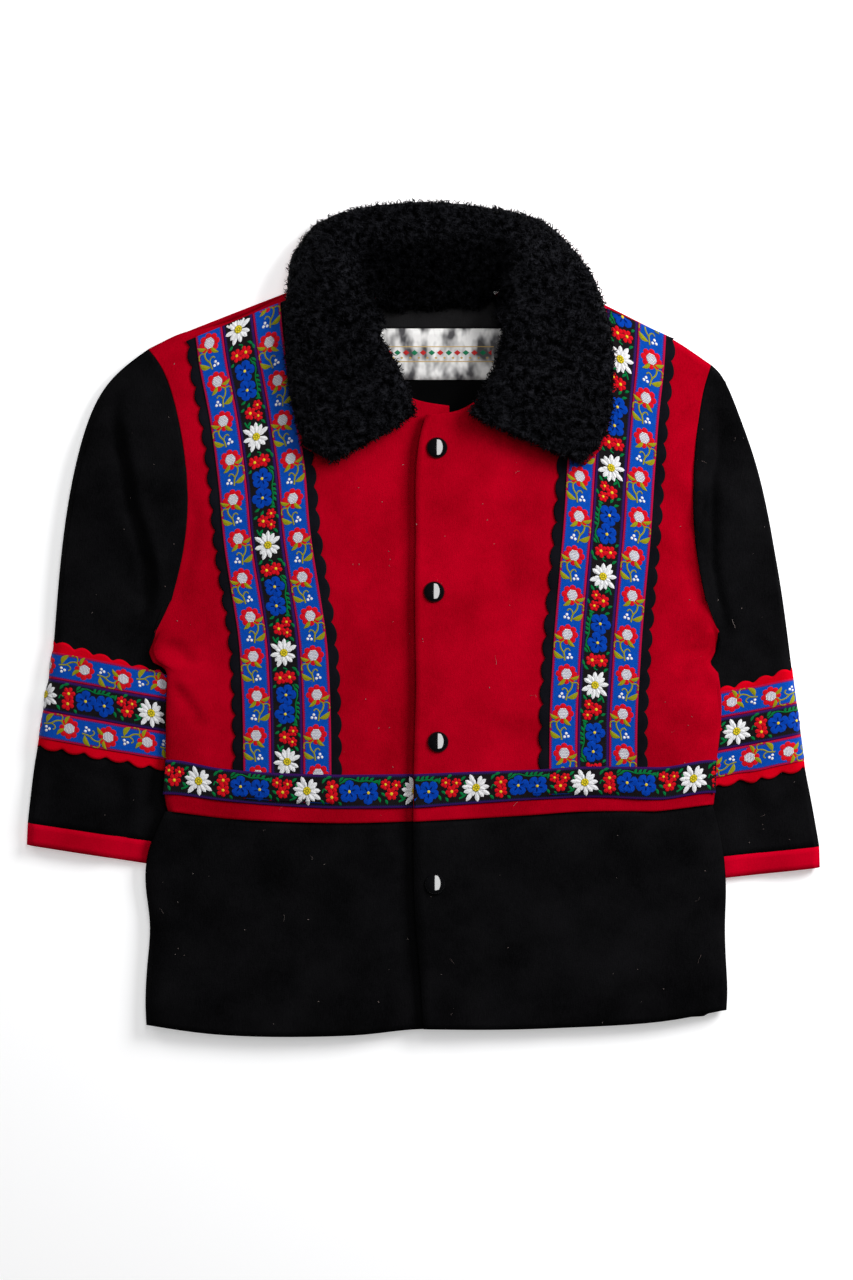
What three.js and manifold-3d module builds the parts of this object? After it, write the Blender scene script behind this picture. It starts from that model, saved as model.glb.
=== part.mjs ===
// A child's folk-style wool jacket, laid flat on its back with the front up and the collar open.
//
// Units are millimetres. +X is the wearer's left, +Y runs from the hem to the neck, and +Z is up from
// the surface that the jacket lies on. The origin is on the flat underside of the back, on the line of
// the snaps. The wearer's left front laps over the right front.
//
// The panels are walls of felted wool. Each one is a grid of points on its outer face and a second grid
// on its inner face. What is sewn on a panel is made from the panel's own points, moved out.
import * as THREE from 'three';
import Module from 'manifold-3d';
import { mergeVertices } from 'three/addons/utils/BufferGeometryUtils.js';

const wasm = await Module();
wasm.setup();

// ---- Driving dimensions -------------------------------------------------------------------------

const GAP = 0.3;                 // air between two pieces that touch
const WOOL = 2;                  // felted wool of the body, the sleeves and the under-collar
const FELT = 1.2;                // scalloped strips under the ribbons
const RIBBON = 0.6;              // woven ribbons
const LINING = 0.8;              // lining and tape inside the back of the neck
const LABEL = 0.5;               // satin label, without any lettering
const FUR = 9;                   // reach of the pile on the collar
const ROLL = 2.5;                // how much higher the pile stands where the collar rolls over

const BODY_TOP = 12;             // height of the outer face of the fronts over the chest
const UNDER_DIP = 3;             // how far the right front sinks under the left one
const OVER_RISE = 2;             // how far the left front rises over the right one
const SKIRT_DROP = 1.3;          // how far the skirt lies below the bodice's lower edge
const SIDE_RISE = 3.8;           // how far the fronts rise where a sleeve lies under the side
const SLEEVE_LIFT = 9.9;         // how high a sleeve with its ribbons lifts the side of the back
const CUFF_LIFT = 5.6;           // how high a cuff lifts it
const EDGE = 4;                  // width of the rounding along the sides and the sleeve folds
const SHOULDER_EDGE = { R: 5.5, L: 3 };           // width of the rounding along the shoulders
const HEM_SETBACK = 2;           // how much shorter the back hem is, out of sight

// Where heights change, as distances in from the fold of a tucked sleeve, or as places on X.
const BACK_CLIMB = { start: 14, end: 2 };
const FRONT_CLIMB = { start: 44, end: 8 };
const DIP_X = { start: -60, end: -18 };
const RISE_X = { start: 16, end: 50 };

const BLUE_WIDTH = 20;           // flowered blue ribbon
const EDEL_WIDTH = 22;           // dark ribbon with white alpine flowers
const FELT_MARGIN = 9.5;         // felt past the ribbons, at the tip of a scallop
const WAIST_CLEAR = 6;           // beside a felt strip, where the waist ribbon comes down
const STRIP_END = 0.15;          // where a strip ends under the waist ribbon, from its lower edge
const SCALLOP_PITCH = 15;
const SCALLOP_DEPTH = 3.5;

const UNDER_START = 6;           // from the roll of the collar to the edge of the under-collar
const UNDER_SHOWS = 1.2;         // under-collar showing past the fur
const TAPE_REACH = 14.3;         // from the middle of the back neck down to the tape's lower edge
const TAPE_FLARE = 1.12;         // how much longer its lower edge is
const LABEL_HEIGHT = 36;

const SNAP_DIAMETER = 15;
const SNAP_HEIGHT = 3.2;
const SOCKET_DIAMETER = 12;
const SOCKET_HEIGHT = 2.4;

const SLEEVE_REACH = { R: 7, L: 38 };              // how far a sleeve reaches under the body
const BAND_STACK = GAP + FELT + GAP + RIBBON;      // felt and ribbon on a panel
const RIBBON_BED = GAP + RIBBON;                   // room for the ribbon under the back

// ---- Tables -------------------------------------------------------------------------------------

function table(names, rows) {
  const columns = names.split(' ');
  return rows.map((row) => Object.fromEntries(columns.map((name, i) => [name, row[i]])));
}

// Sides of the bodice, from its lower edge up: side seam, underarm, armhole, shoulder.
// R is the wearer's right (-X), L the wearer's left (+X).
const BODICE_SIDES = table('yR xR yL xL', [
  [-134, -187.5, -129, 194],     // lower edge
  [-122, -190.5, -121, 195],     // lower edge of the waist ribbon
  [-99, -188.7, -99, 195.5],     // upper edge of the waist ribbon
  [-55, -189.0, -60, 201.5],
  [-34, -186.5, -37, 196.5],
  [-29, -195.0, -30, 190.5],
  [-20, -199.3, -20, 196.5],     // underarm
  [-8, -196.0, -8, 197.8],
  [14, -185.0, 14, 188.5],
  [50, -175.5, 50, 181.0],
  [92, -172.6, 90, 179.2],
  [135, -178.0, 130, 182.0],
  [172, -187.8, 160, 186.0],
  [190, -201.5, 179, 192.6],     // shoulder point
]);
const UNDERARM = 6;              // its row in the table above

// Sides of the skirt, from the bodice down to the hem.
const SKIRT_SIDES = table('yR xR yL xL', [
  [-134.3, -190, -129.3, 193.5],
  [-155, -200, -147, 199],
  [-174, -204, -164, 201.7],
  [-192, -203.3, -190, 203.5],
  [-215, -199.2, -212, 202.2],
  [-241, -202.6, -240, 203.2],
  [-268, -204, -258, 204.6],
  [-284, -203, -273.5, 203.7],
]);

const HEM = table('x y', [
  [-203, -284], [-193, -287.4], [-150, -291], [-93, -292.5], [-50, -290.7], [-15, -286.3],
  [39, -286.9], [103, -285], [168, -281.5], [197, -279], [203.7, -273.5],
]);

// Shoulder lines and necklines, as heights over x.
const SHOULDER_R = table('x y', [[-201.5, 190], [-177, 201.6], [-150, 207.4], [-102, 229.6], [-62, 246]]);
const SHOULDER_L = table('x y', [[57, 249], [115, 222.6], [142, 209], [168, 195.7], [192.6, 179]]);
const BACK_NECK = table('x y', [
  [-62, 246], [-55, 231], [-45, 223.5], [-4, 219.3], [42, 225], [52, 233], [57, 249],
]);
const FRONT_NECK_R = table('x y', [[-62, 246], [-52, 207], [-40, 180], [-22, 154], [9, 150]]);
const FRONT_NECK_L = table('x y', [[57, 249], [54, 200], [43, 164], [18, 145], [-7, 143.3]]);

// The waist ribbon and the bodice's lower edge, on the two fronts and on the back.
const WAIST = table('x ribbonTop ribbonBottom edge', [
  [-188, -99, -122, -134], [-167, -103, -124.5, -137], [-115, -108, -129.7, -140.7],
  [-66, -109.4, -132, -142], [-15, -109, -131.6, -140.8], [20, -107.5, -129, -139],
  [66, -106, -126, -136.4], [111, -103.6, -124.3, -133.4], [157, -104, -125.7, -133.6],
  [195, -99, -121, -129],
]);

// Centre lines of the ribbon strips on the fronts.
const STRIPS = table('y xR xL', [
  [215, -139.5, 130.3], [178, -134.8, 128.8], [141, -127.6, 125], [106, -122.5, 122.5], [60, -118.5, 119.5],
  [21, -112.5, 116], [-24, -106.4, 112.5], [-74, -104.4, 110.2], [-140, -103.8, 109.7],
]);

// Free edge of the left front, over the snaps.
const FRONT_EDGE = table('y x', [
  [143.3, -7], [128, -11], [117, -14.5], [95, -14.7], [60, -13.4], [24, -14.6],
  [-50, -13.6], [-99, -15.4], [-150, -15.6], [-204, -14.8], [-241, -11.2], [-290, -8.3],
]);
const UNDER_EDGE = 9;            // free edge of the right front, under the left one

const SNAPS = table('x y', [[0.7, 120.4], [-1.4, 19.6], [1.4, -85.4], [-0.7, -184.8]]);

// Sleeves, from the armhole to the cuff. A row runs from the outer fold (ox, oy) to the fold under the
// body (ix, iy). bulge is how much of the armhole's curve it keeps. base and top are the heights of its
// two faces, and tucked is the height of the upper face where the sleeve lies under the body.
const SLEEVE_NAMES = 'ox oy ix iy bulge base top tucked';
const SLEEVE_R = table(SLEEVE_NAMES, [
  [-201.8, 190.2, -199.6, -20, 1, 0, 12, 12],
  [-222, 175.5, -199.8, -21, 0.85, 0, 12, 11.2],
  [-239.5, 155, -199.9, -22.2, 0.62, 0, 11.5, 10],
  [-253, 112, -199.8, -23.6, 0.38, 0, 11, 9],
  [-262.5, 56, -199.2, -25.2, 0.16, 0, 10.5, 8],
  [-267.5, -13, -197.3, -27.6, 0, 2.4, 10.9, 7.2],
  [-268.3, -22, -183.5, -38.2, 0, 2.4, 10.9, 7.2],
  [-279.3, -91, -181.8, -108.5, 0, 2.4, 10.9, 7.2],
  [-282, -103, -182, -119, 0, 0, 10, 4.8],
  [-286.3, -142, -193, -156.2, 0, 0, 9.5, 4.8],
  [-287, -157.5, -197.5, -171.5, 0, 0, 9, 4.8],
]);
const SLEEVE_L = table(SLEEVE_NAMES, [
  [192.9, 179.2, 196.8, -20, 1, 0, 12, 12],
  [203.5, 170, 197.4, -21.7, 0.85, 0, 12, 11.2],
  [213, 144, 197.1, -23.6, 0.62, 0, 11.5, 10],
  [226, 110, 195.8, -26.4, 0.38, 0, 11, 9],
  [238.5, 53, 192.6, -30.6, 0.16, 0, 10.5, 8],
  [249, -32, 177, -47.4, 0, 2.4, 10.9, 7.2],
  [250, -40.5, 167.5, -57, 0, 2.4, 10.9, 7.2],
  [258.5, -106.5, 165, -126.5, 0, 2.4, 10.9, 7.2],
  [261.5, -117, 167, -136, 0, 0, 10, 4.8],
  [268.8, -158.6, 178, -168.5, 0, 0, 9.5, 4.8],
  [269.2, -173.4, 180, -183.4, 0, 0, 9, 4.8],
]);
const FELT_FROM = 5;             // rows of the sleeve tables: felt from here,
const BAND_FROM = 6;             // ribbons from here,
const BAND_TO = 7;               // felt to here,
const CUFF_FROM = 9;             // cuff from here
const CUFF_TO = 10;
const BAND_LINES = [0, 0.27, 0.6, 0.88];         // edges of the three ribbons, from BAND_FROM to BAND_TO

// How far a sleeve reaches under the body, and how high it lifts the side, over y.
const TUCK_R = table('y x lift', [
  [-20, 199.3, 0], [-30, 194, 9], [-34, 186, SLEEVE_LIFT], [-108, 181.8, SLEEVE_LIFT],
  [-122, 182, SLEEVE_LIFT], [-134, 186, 7], [-150, 191, CUFF_LIFT], [-174, 197.5, CUFF_LIFT],
  [-200, 200, 0],
]);
const TUCK_L = table('y x lift', [
  [-20, 196.5, 0], [-30, 190.5, 9], [-37, 185, SLEEVE_LIFT], [-47, 177, SLEEVE_LIFT],
  [-57, 167.5, SLEEVE_LIFT], [-126, 165, SLEEVE_LIFT], [-137, 167, 7], [-168, 178, CUFF_LIFT],
  [-186, 181, CUFF_LIFT], [-212, 190, 0],
]);

// The collar, from its front tip to the middle of the back. A row runs from the roll or the neck seam
// (ix, iy) to the outer edge (ox, oy). zi, zm and zo are the heights of what it lies on, and roll says
// how much it rolls over.
const COLLAR_NAMES = 'ix iy ox oy zi zm zo roll';
const COLLAR_R = table(COLLAR_NAMES, [
  [-15.5, 143.5, -73, 110.3, 13.4, 14.8, 15, 0.6],
  [-20, 160, -92, 121.5, 13.5, 14.8, 15, 1],
  [-27.5, 175, -99.5, 147, 13.5, 14.8, 15, 1],
  [-37, 192, -103.2, 174.3, 13.5, 14.8, 15, 1],
  [-44.3, 207, -104, 201, 13.5, 14.8, 15, 1],
  [-49.5, 222, -103.2, 231, 13.5, 14.8, 13.5, 1],
  [-52, 228, -99, 255, 13.5, 13.5, 5, 1],
  [-53, 234, -85, 275, 13.5, 10, 0, 0.7],
  [-43.5, 224.4, -64, 286, 0, 0, 0, 0],
  [-28, 221.6, -35, 290, 0, 0, 0, 0],
  [-4.2, 220, -4.2, 291.9, 0, 0, 0, 0],
]);
const COLLAR_L = table(COLLAR_NAMES, [
  [24.5, 143.5, 103, 108.5, 14.6, 15, 15, 0.6],
  [32, 156, 114.5, 120, 14.4, 15, 15, 1],
  [38.5, 167.3, 121, 140, 14, 15, 15, 1],
  [44.5, 182, 123, 165, 13.5, 15, 15, 1],
  [47.5, 196, 122.3, 188, 13.5, 15, 15, 1],
  [49.5, 210, 119.5, 209, 13.5, 15, 15, 1],
  [50.3, 223, 113.5, 229.5, 13.5, 15, 15, 1],
  [51, 231, 102, 249.5, 13.5, 14.6, 6.4, 1],
  [51, 236, 88, 266.5, 13.5, 12.8, 2, 1],
  [50.5, 239, 73, 279.5, 13.5, 11, 0, 0.7],
  [41, 225.8, 58, 284.5, 0, 0, 0, 0],
  [21, 222.8, 25, 289, 0, 0, 0, 0],
  [-3.6, 220, -3.6, 291.9, 0, 0, 0, 0],
]);

// ---- Curves -------------------------------------------------------------------------------------

const mix = (a, b, t) => a + (b - a) * t;

function smooth(from, to, value) {
  const t = Math.min(1, Math.max(0, (value - from) / (to - from)));
  return t * t * (3 - 2 * t);
}

// A smooth function through two columns of a table, with no bumps between its rows.
function curve(rows, from, to) {
  const points = rows.map((row) => [row[from], row[to]]).sort((a, b) => a[0] - b[0]);
  const steps = points.slice(1).map((p, i) => (p[1] - points[i][1]) / (p[0] - points[i][0]));
  const slopes = points.map((_, i) => {
    if (i === 0) return steps[0];
    if (i === points.length - 1) return steps[i - 1];
    const [before, after] = [steps[i - 1], steps[i]];
    return before * after <= 0 ? 0 : (2 * before * after) / (before + after);
  });
  return (value) => {
    const last = points.length - 1;
    if (value <= points[0][0]) return points[0][1];
    if (value >= points[last][0]) return points[last][1];
    const i = points.findIndex((p) => p[0] > value) - 1;
    const [[x0, y0], [x1, y1]] = [points[i], points[i + 1]];
    const [width, t] = [x1 - x0, (value - x0) / (x1 - x0)];
    const [t2, t3] = [t * t, t * t * t];
    return (2 * t3 - 3 * t2 + 1) * y0 + (t3 - 2 * t2 + t) * width * slopes[i]
      + (3 * t2 - 2 * t3) * y1 + (t3 - t2) * width * slopes[i + 1];
  };
}

const shoulder = { R: curve(SHOULDER_R, 'x', 'y'), L: curve(SHOULDER_L, 'x', 'y') };
const backNeck = curve(BACK_NECK, 'x', 'y');
const hem = curve(HEM, 'x', 'y');
const ribbonTop = curve(WAIST, 'x', 'ribbonTop');
const ribbonBottom = curve(WAIST, 'x', 'ribbonBottom');
const bodiceEdge = curve(WAIST, 'x', 'edge');
const strip = { R: curve(STRIPS, 'y', 'xR'), L: curve(STRIPS, 'y', 'xL') };
const frontEdge = curve(FRONT_EDGE, 'y', 'x');
const tuck = { R: curve(TUCK_R, 'y', 'x'), L: curve(TUCK_L, 'y', 'x') };
const lift = { R: curve(TUCK_R, 'y', 'lift'), L: curve(TUCK_L, 'y', 'lift') };
const away = { R: -1, L: 1 };                    // the direction out from the middle

// ---- Heights ------------------------------------------------------------------------------------

// Height of the back's underside. It lies on the surface, but climbs over the sleeve at each side.
function backBase(side, x, y) {
  const reach = tuck[side](y);
  const climb = smooth(reach - BACK_CLIMB.start, reach - BACK_CLIMB.end, Math.abs(x));
  return lift[side](y) * climb;
}

// Height of the outer face of a front.
function frontTop(side, x, y) {
  const reach = tuck[side](y);
  const climb = smooth(reach - FRONT_CLIMB.start, reach - FRONT_CLIMB.end, Math.abs(x));
  const over = SIDE_RISE * (lift[side](y) / SLEEVE_LIFT) * climb;
  const dip = UNDER_DIP * smooth(DIP_X.start, DIP_X.end, x);
  const rise = OVER_RISE * (1 - smooth(RISE_X.start, RISE_X.end, x));
  return BODY_TOP + over + (side === 'R' ? -dip : rise);
}

const halfHeight = (side, x, y, drop) => (frontTop(side, x, y) - drop + backBase(side, x, y)) / 2;

// ---- Solids -------------------------------------------------------------------------------------

const point = (x, y, z) => new THREE.Vector3(x, y, z);
const between = (a, b, t) => a.clone().lerp(b, t);

// A geometry from points and triangles, with its faces pointing out.
function solid(points, triangles) {
  const volume = triangles.reduce((sum, [a, b, c]) => {
    return sum + points[a].dot(points[b].clone().cross(points[c]));
  }, 0);
  const faces = volume < 0 ? triangles.map(([a, b, c]) => [a, c, b]) : triangles;
  const geometry = new THREE.BufferGeometry();
  const places = points.flatMap((p) => p.toArray());
  geometry.setAttribute('position', new THREE.Float32BufferAttribute(places, 3));
  geometry.setIndex(faces.flat());
  return geometry;
}

const quad = (a, b, c, d) => [[a, b, c], [a, c, d]];

// A closed wall between two grids of points with the same rows and columns.
function wall(outer, inner) {
  const [rows, columns] = [outer.length, outer[0].length];
  const [top, end] = [rows - 1, columns - 1];
  const at = (layer, row, column) => (layer * rows + row) * columns + column;
  const triangles = [];
  for (let r = 0; r < rows - 1; r += 1) {
    for (let c = 0; c < columns - 1; c += 1) {
      triangles.push(...quad(at(0, r, c), at(0, r, c + 1), at(0, r + 1, c + 1), at(0, r + 1, c)));
      triangles.push(...quad(at(1, r, c), at(1, r + 1, c), at(1, r + 1, c + 1), at(1, r, c + 1)));
    }
  }
  for (let c = 0; c < columns - 1; c += 1) {
    triangles.push(...quad(at(1, 0, c), at(1, 0, c + 1), at(0, 0, c + 1), at(0, 0, c)));
    triangles.push(...quad(at(0, top, c), at(0, top, c + 1), at(1, top, c + 1), at(1, top, c)));
  }
  for (let r = 0; r < rows - 1; r += 1) {
    triangles.push(...quad(at(0, r, 0), at(0, r + 1, 0), at(1, r + 1, 0), at(1, r, 0)));
    triangles.push(...quad(at(1, r, end), at(1, r + 1, end), at(0, r + 1, end), at(0, r, end)));
  }
  return solid([...outer.flat(), ...inner.flat()], triangles);
}

// A closed tube wall between two stacks of rings with the same number of points.
function tube(outer, inner) {
  const [rows, count] = [outer.length, outer[0].length];
  const top = rows - 1;
  const at = (layer, row, k) => (layer * rows + row) * count + (k % count);
  const triangles = [];
  for (let k = 0; k < count; k += 1) {
    for (let r = 0; r < rows - 1; r += 1) {
      triangles.push(...quad(at(0, r, k), at(0, r, k + 1), at(0, r + 1, k + 1), at(0, r + 1, k)));
      triangles.push(...quad(at(1, r, k), at(1, r + 1, k), at(1, r + 1, k + 1), at(1, r, k + 1)));
    }
    triangles.push(...quad(at(1, 0, k), at(1, 0, k + 1), at(0, 0, k + 1), at(0, 0, k)));
    triangles.push(...quad(at(0, top, k), at(0, top, k + 1), at(1, top, k + 1), at(1, top, k)));
  }
  return solid([...outer.flat(), ...inner.flat()], triangles);
}

// A solid loft through closed sections, with flat ends.
function loft(sections) {
  const count = sections[0].length;
  const at = (row, k) => row * count + (k % count);
  const triangles = [];
  for (let r = 0; r < sections.length - 1; r += 1) {
    for (let k = 0; k < count; k += 1) {
      triangles.push(...quad(at(r, k), at(r, k + 1), at(r + 1, k + 1), at(r + 1, k)));
    }
  }
  for (const [row, turn] of [[0, true], [sections.length - 1, false]]) {
    const start = sections[row][0];
    const flat = sections[row].map((p) => {
      return new THREE.Vector2(Math.hypot(p.x - start.x, p.y - start.y), p.z);
    });
    for (const [a, b, c] of THREE.ShapeUtils.triangulateShape(flat, [])) {
      const clockwise = THREE.ShapeUtils.area(flat) < 0;
      const face = [at(row, a), at(row, b), at(row, c)];
      triangles.push(turn === clockwise ? face : face.reverse());
    }
  }
  return solid(sections.flat(), triangles);
}

// The way out of each point of a grid, from its neighbours. A ring's columns close on themselves.
function waysOut(grid, closed) {
  const [rows, columns] = [grid.length, grid[0].length];
  return grid.map((line, r) => line.map((_, c) => {
    const left = closed ? (c + columns - 1) % columns : Math.max(0, c - 1);
    const right = closed ? (c + 1) % columns : Math.min(columns - 1, c + 1);
    const across = line[right].clone().sub(line[left]);
    const up = grid[Math.min(rows - 1, r + 1)][c].clone().sub(grid[Math.max(0, r - 1)][c]);
    return across.cross(up).normalize();
  }));
}

// Ways out that all point up (1) or all point down (-1).
const outward = (ways, sign) => ways.map((line) => {
  return line.map((way) => (way.z * sign < -0.05 ? way.negate() : way));
});

// Ways out of a stack of rings that point away from the middle of their ring.
function outwardRing(rings, ways) {
  const middle = rings[0].reduce((sum, p) => sum.add(p), point(0, 0, 0)).divideScalar(rings[0].length);
  const top = rings[0].reduce((best, p, k) => (p.z > rings[0][best].z ? k : best), 0);
  const wrong = ways[0][top].z * (rings[0][top].z - middle.z) < 0;
  return wrong ? ways.map((line) => line.map((way) => way.negate())) : ways;
}

// A grid moved out by a distance, which may differ from column to column.
function moved(grid, ways, distance) {
  return grid.map((line, r) => line.map((p, c) => {
    const step = typeof distance === 'number' ? distance : distance[c];
    return p.clone().addScaledVector(ways[r][c], step);
  }));
}

function toManifold(geometry) {
  const bare = new THREE.BufferGeometry();
  bare.setAttribute('position', geometry.getAttribute('position').clone());
  bare.setIndex(geometry.index);
  const merged = mergeVertices(bare, 1e-4);
  return new wasm.Manifold(new wasm.Mesh({
    numProp: 3,
    vertProperties: new Float32Array(merged.getAttribute('position').array),
    triVerts: new Uint32Array(merged.index.array),
  }));
}

function fromManifold(body) {
  const mesh = body.getMesh();
  const geometry = new THREE.BufferGeometry();
  geometry.setAttribute('position', new THREE.Float32BufferAttribute(mesh.vertProperties, 3));
  geometry.setIndex(Array.from(mesh.triVerts));
  return geometry;
}

// What is left of a solid inside a plan outline.
function trimmed(geometry, outline) {
  const [low, high] = [-20, 40];
  const cutter = new THREE.ExtrudeGeometry(new THREE.Shape(outline), {
    depth: high - low,
    bevelEnabled: false,
  });
  cutter.translate(0, 0, low);
  cutter.deleteAttribute('normal');
  cutter.deleteAttribute('uv');
  return fromManifold(toManifold(geometry).intersect(toManifold(mergeVertices(cutter, 1e-4))));
}

// A scalloped edge along a line of plan points, with its tips on the line and its notches on the side
// that inward points to.
function scallops(line, inward) {
  const path = new THREE.Path(line).getSpacedPoints(Math.round(new THREE.Path(line).getLength() / 2));
  const route = new THREE.Path(path);
  const count = Math.max(1, Math.round(route.getLength() / SCALLOP_PITCH));
  const marks = [0, 0.3, 0.7];
  const edge = [];
  for (let i = 0; i < count; i += 1) {
    for (const mark of marks) {
      const at = route.getPointAt(Math.min(1, (i + mark) / count));
      edge.push(at.addScaledVector(inward, SCALLOP_DEPTH * (1 - Math.sin(Math.PI * mark))));
    }
  }
  edge.push(route.getPointAt(1).addScaledVector(inward, SCALLOP_DEPTH));
  return edge;
}

// ---- Pieces -------------------------------------------------------------------------------------

const PAINT = {
  redWool: { color: 0xa8001c, roughness: 0.95 },
  blackWool: { color: 0x0d0d0e, roughness: 0.95 },
  fur: { color: 0x08080d, roughness: 1 },
  lining: { color: 0x141315, roughness: 0.8 },
  tape: { color: 0x2a292c, roughness: 0.6 },
  label: { color: 0xc9c7c8, roughness: 0.35 },
  blackFelt: { color: 0x121114, roughness: 1 },
  redFelt: { color: 0xd3121c, roughness: 1 },
  blueRibbon: { color: 0x0a4f9e, roughness: 0.6 },
  darkRibbon: { color: 0x17181c, roughness: 0.6 },
  gloss: { color: 0x050505, roughness: 0.08 },
  metal: { color: 0xb9bbbd, roughness: 0.3, metalness: 1 },
};
const materials = Object.fromEntries(Object.entries(PAINT).map(([name, paint]) => {
  return [name, new THREE.MeshStandardMaterial(paint)];
}));

const jacket = new THREE.Group();
jacket.name = 'wool_jacket';

function add(name, geometry, paint) {
  geometry.computeVertexNormals();
  const mesh = new THREE.Mesh(geometry, materials[paint].clone());
  mesh.name = name;
  jacket.add(mesh);
  return mesh;
}

// ---- Bodice -------------------------------------------------------------------------------------

// Height along a column where it meets the top line of its panel.
function meet(x, line, guess) {
  let y = guess;
  for (let i = 0; i < 30; i += 1) y = line(x(y));
  return y;
}

const offsetOf = (side, steps) => (y) => strip[side](y) + away[side] * steps;
const STRIP_STEPS = {
  feltOut: EDEL_WIDTH / 2 + BLUE_WIDTH + FELT_MARGIN,
  blueOut: EDEL_WIDTH / 2 + BLUE_WIDTH,
  edelOut: EDEL_WIDTH / 2,
  edelIn: -EDEL_WIDTH / 2,
  blueIn: -EDEL_WIDTH / 2 - BLUE_WIDTH,
  feltIn: -EDEL_WIDTH / 2 - BLUE_WIDTH - FELT_MARGIN,
};
const RIBBON_ROWS = [1, 2];      // rows of a bodice panel at the edges of the waist ribbon
const SIDE_COLUMNS = 4;          // columns of a back panel from its side seam to its middle ones

// Columns of the back's middle: where each one ends on the neck, and where it starts.
const BACK_NECK_TIPS = table('tip low', [[-62, -62], [-45, -45], [-4, -4], [42, 44], [57, 60]]);

// Columns of a front panel, from the side in.
const FRONT_COLUMN = {
  side: 0, rounded: 1, clear: 2, feltOut: 3, blueOut: 4, edelOut: 5, edelIn: 6, blueIn: 7, feltIn: 8,
};

// The side line of a panel, over y.
const sideLine = (sides, side) => curve(sides, `y${side}`, `x${side}`);

// Rows of a bodice panel as shares of the way from the waist ribbon to the shoulder.
function shares(side) {
  const ys = BODICE_SIDES.map((row) => row[`y${side}`]);
  const [from, to] = [ys[2], ys[ys.length - 1]];
  return ys.slice(2, -1).map((y) => (y - from) / (to - from));
}

// One column of a bodice panel: points from the lower edge to the top, with the shoulder's rounding.
function bodiceColumn(x, top, side, rounded) {
  const lows = [bodiceEdge, ribbonBottom, ribbonTop].map((line) => meet(x, line, -120));
  const end = rounded ? top - SHOULDER_EDGE[side] : top;
  const rows = shares(side).slice(1).map((share) => mix(lows[2], end, share));
  const beforeTop = rounded ? end : mix(rows.at(-1), top, 0.6);
  return [...lows, ...rows, beforeTop, top].map((y) => [x(y), y]);
}

// The plan of a front: its columns from the side to the free edge.
function frontPlan(side) {
  const side0 = sideLine(BODICE_SIDES, side);
  const out = away[side];
  const inward = (distance) => (y) => side0(y) - out * distance;
  const columns = [];
  const shoulderTop = (x) => meet(x, shoulder[side], 200);
  const sideColumn = (x) => {
    const last = BODICE_SIDES.length - 1;
    const ys = BODICE_SIDES.map((row) => row[`y${side}`]);
    const own = [...ys.slice(0, last), ys[last] - SHOULDER_EDGE[side], ys[last]];
    return own.map((y) => [x(y), y]);
  };
  columns.push(sideColumn(side0));
  const second = sideColumn(inward(EDGE));
  const rise = shoulderTop(inward(EDGE)) - second.at(-1)[1];
  second.at(-1)[1] += rise;
  second.at(-2)[1] += rise;
  columns.push(second);
  const steps = [STRIP_STEPS.feltOut + WAIST_CLEAR, ...Object.values(STRIP_STEPS)];
  steps.forEach((step) => {
    const x = offsetOf(side, step);
    columns.push(bodiceColumn(x, shoulderTop(x), side, true));
  });
  const neck = side === 'R' ? FRONT_NECK_R : FRONT_NECK_L;
  const lows = side === 'R' ? [-52, -42, -30, -16, UNDER_EDGE] : [54, 43, 32, 14, -15.5];
  neck.forEach((tip, i) => {
    const free = side === 'L' && i === neck.length - 1;
    const low = bodiceEdge(lows[i]);
    const x = free ? frontEdge : (y) => mix(lows[i], tip.x, (y - low) / (tip.y - low));
    columns.push(bodiceColumn(x, tip.y, side, i === 0));
  });
  return columns;
}

// Rounding of a point of a panel: 0 on the seam at half height, 1 on the flat.
function rounding(row, column, rows, closedTo, shoulderColumns) {
  const sideways = column === 0 && row <= closedTo ? 0 : 1;
  const upwards = row === rows - 1 && column < shoulderColumns ? 0 : 1;
  return { sideways, upwards, flat: sideways * upwards };
}

// Plan of a point's partner on the inner face, one wall in from a seam at the side or the shoulder.
function inset(column, row, side, { seam, top }) {
  const [x, y] = column[row];
  if (seam) return [x - away[side] * WOOL, y];
  if (!top) return [x, y];
  const [toX, toY] = [column[row - 1][0] - x, column[row - 1][1] - y];
  const length = Math.hypot(toX, toY);
  return [x + (toX / length) * WOOL, y + (toY / length) * WOOL];
}

// The outer and inner faces of a front.
function frontFaces(side, plan, { drop = 0, closedTo, shoulderColumns = 0 }) {
  const rows = plan[0].length;
  const faces = { outer: [], inner: [] };
  for (let r = 0; r < rows; r += 1) {
    const lines = { outer: [], inner: [] };
    plan.forEach((column, c) => {
      const [x, y] = column[r];
      const { sideways, upwards, flat } = rounding(r, c, rows, closedTo, shoulderColumns);
      const middle = halfHeight(side, x, y, drop) + GAP / 2;
      const top = frontTop(side, x, y) - drop;
      lines.outer.push(point(x, y, mix(middle, top, flat)));
      const inner = inset(column, r, side, { seam: !sideways, top: !upwards });
      lines.inner.push(point(...inner, mix(middle, top - WOOL, flat)));
    });
    faces.outer.push(lines.outer);
    faces.inner.push(lines.inner);
  }
  return faces;
}

const SHOULDER_COLUMNS = 10;     // columns of a front that end on the shoulder, the neck point included
const bodice = {};
for (const side of ['R', 'L']) {
  const faces = frontFaces(side, frontPlan(side), {
    closedTo: UNDERARM,
    shoulderColumns: SHOULDER_COLUMNS,
  });
  bodice[side] = { ...faces, ways: outward(waysOut(faces.outer, false), 1) };
  add(`front_upper_${side.toLowerCase()}`, wall(faces.outer, faces.inner), 'redWool');
}

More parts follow.
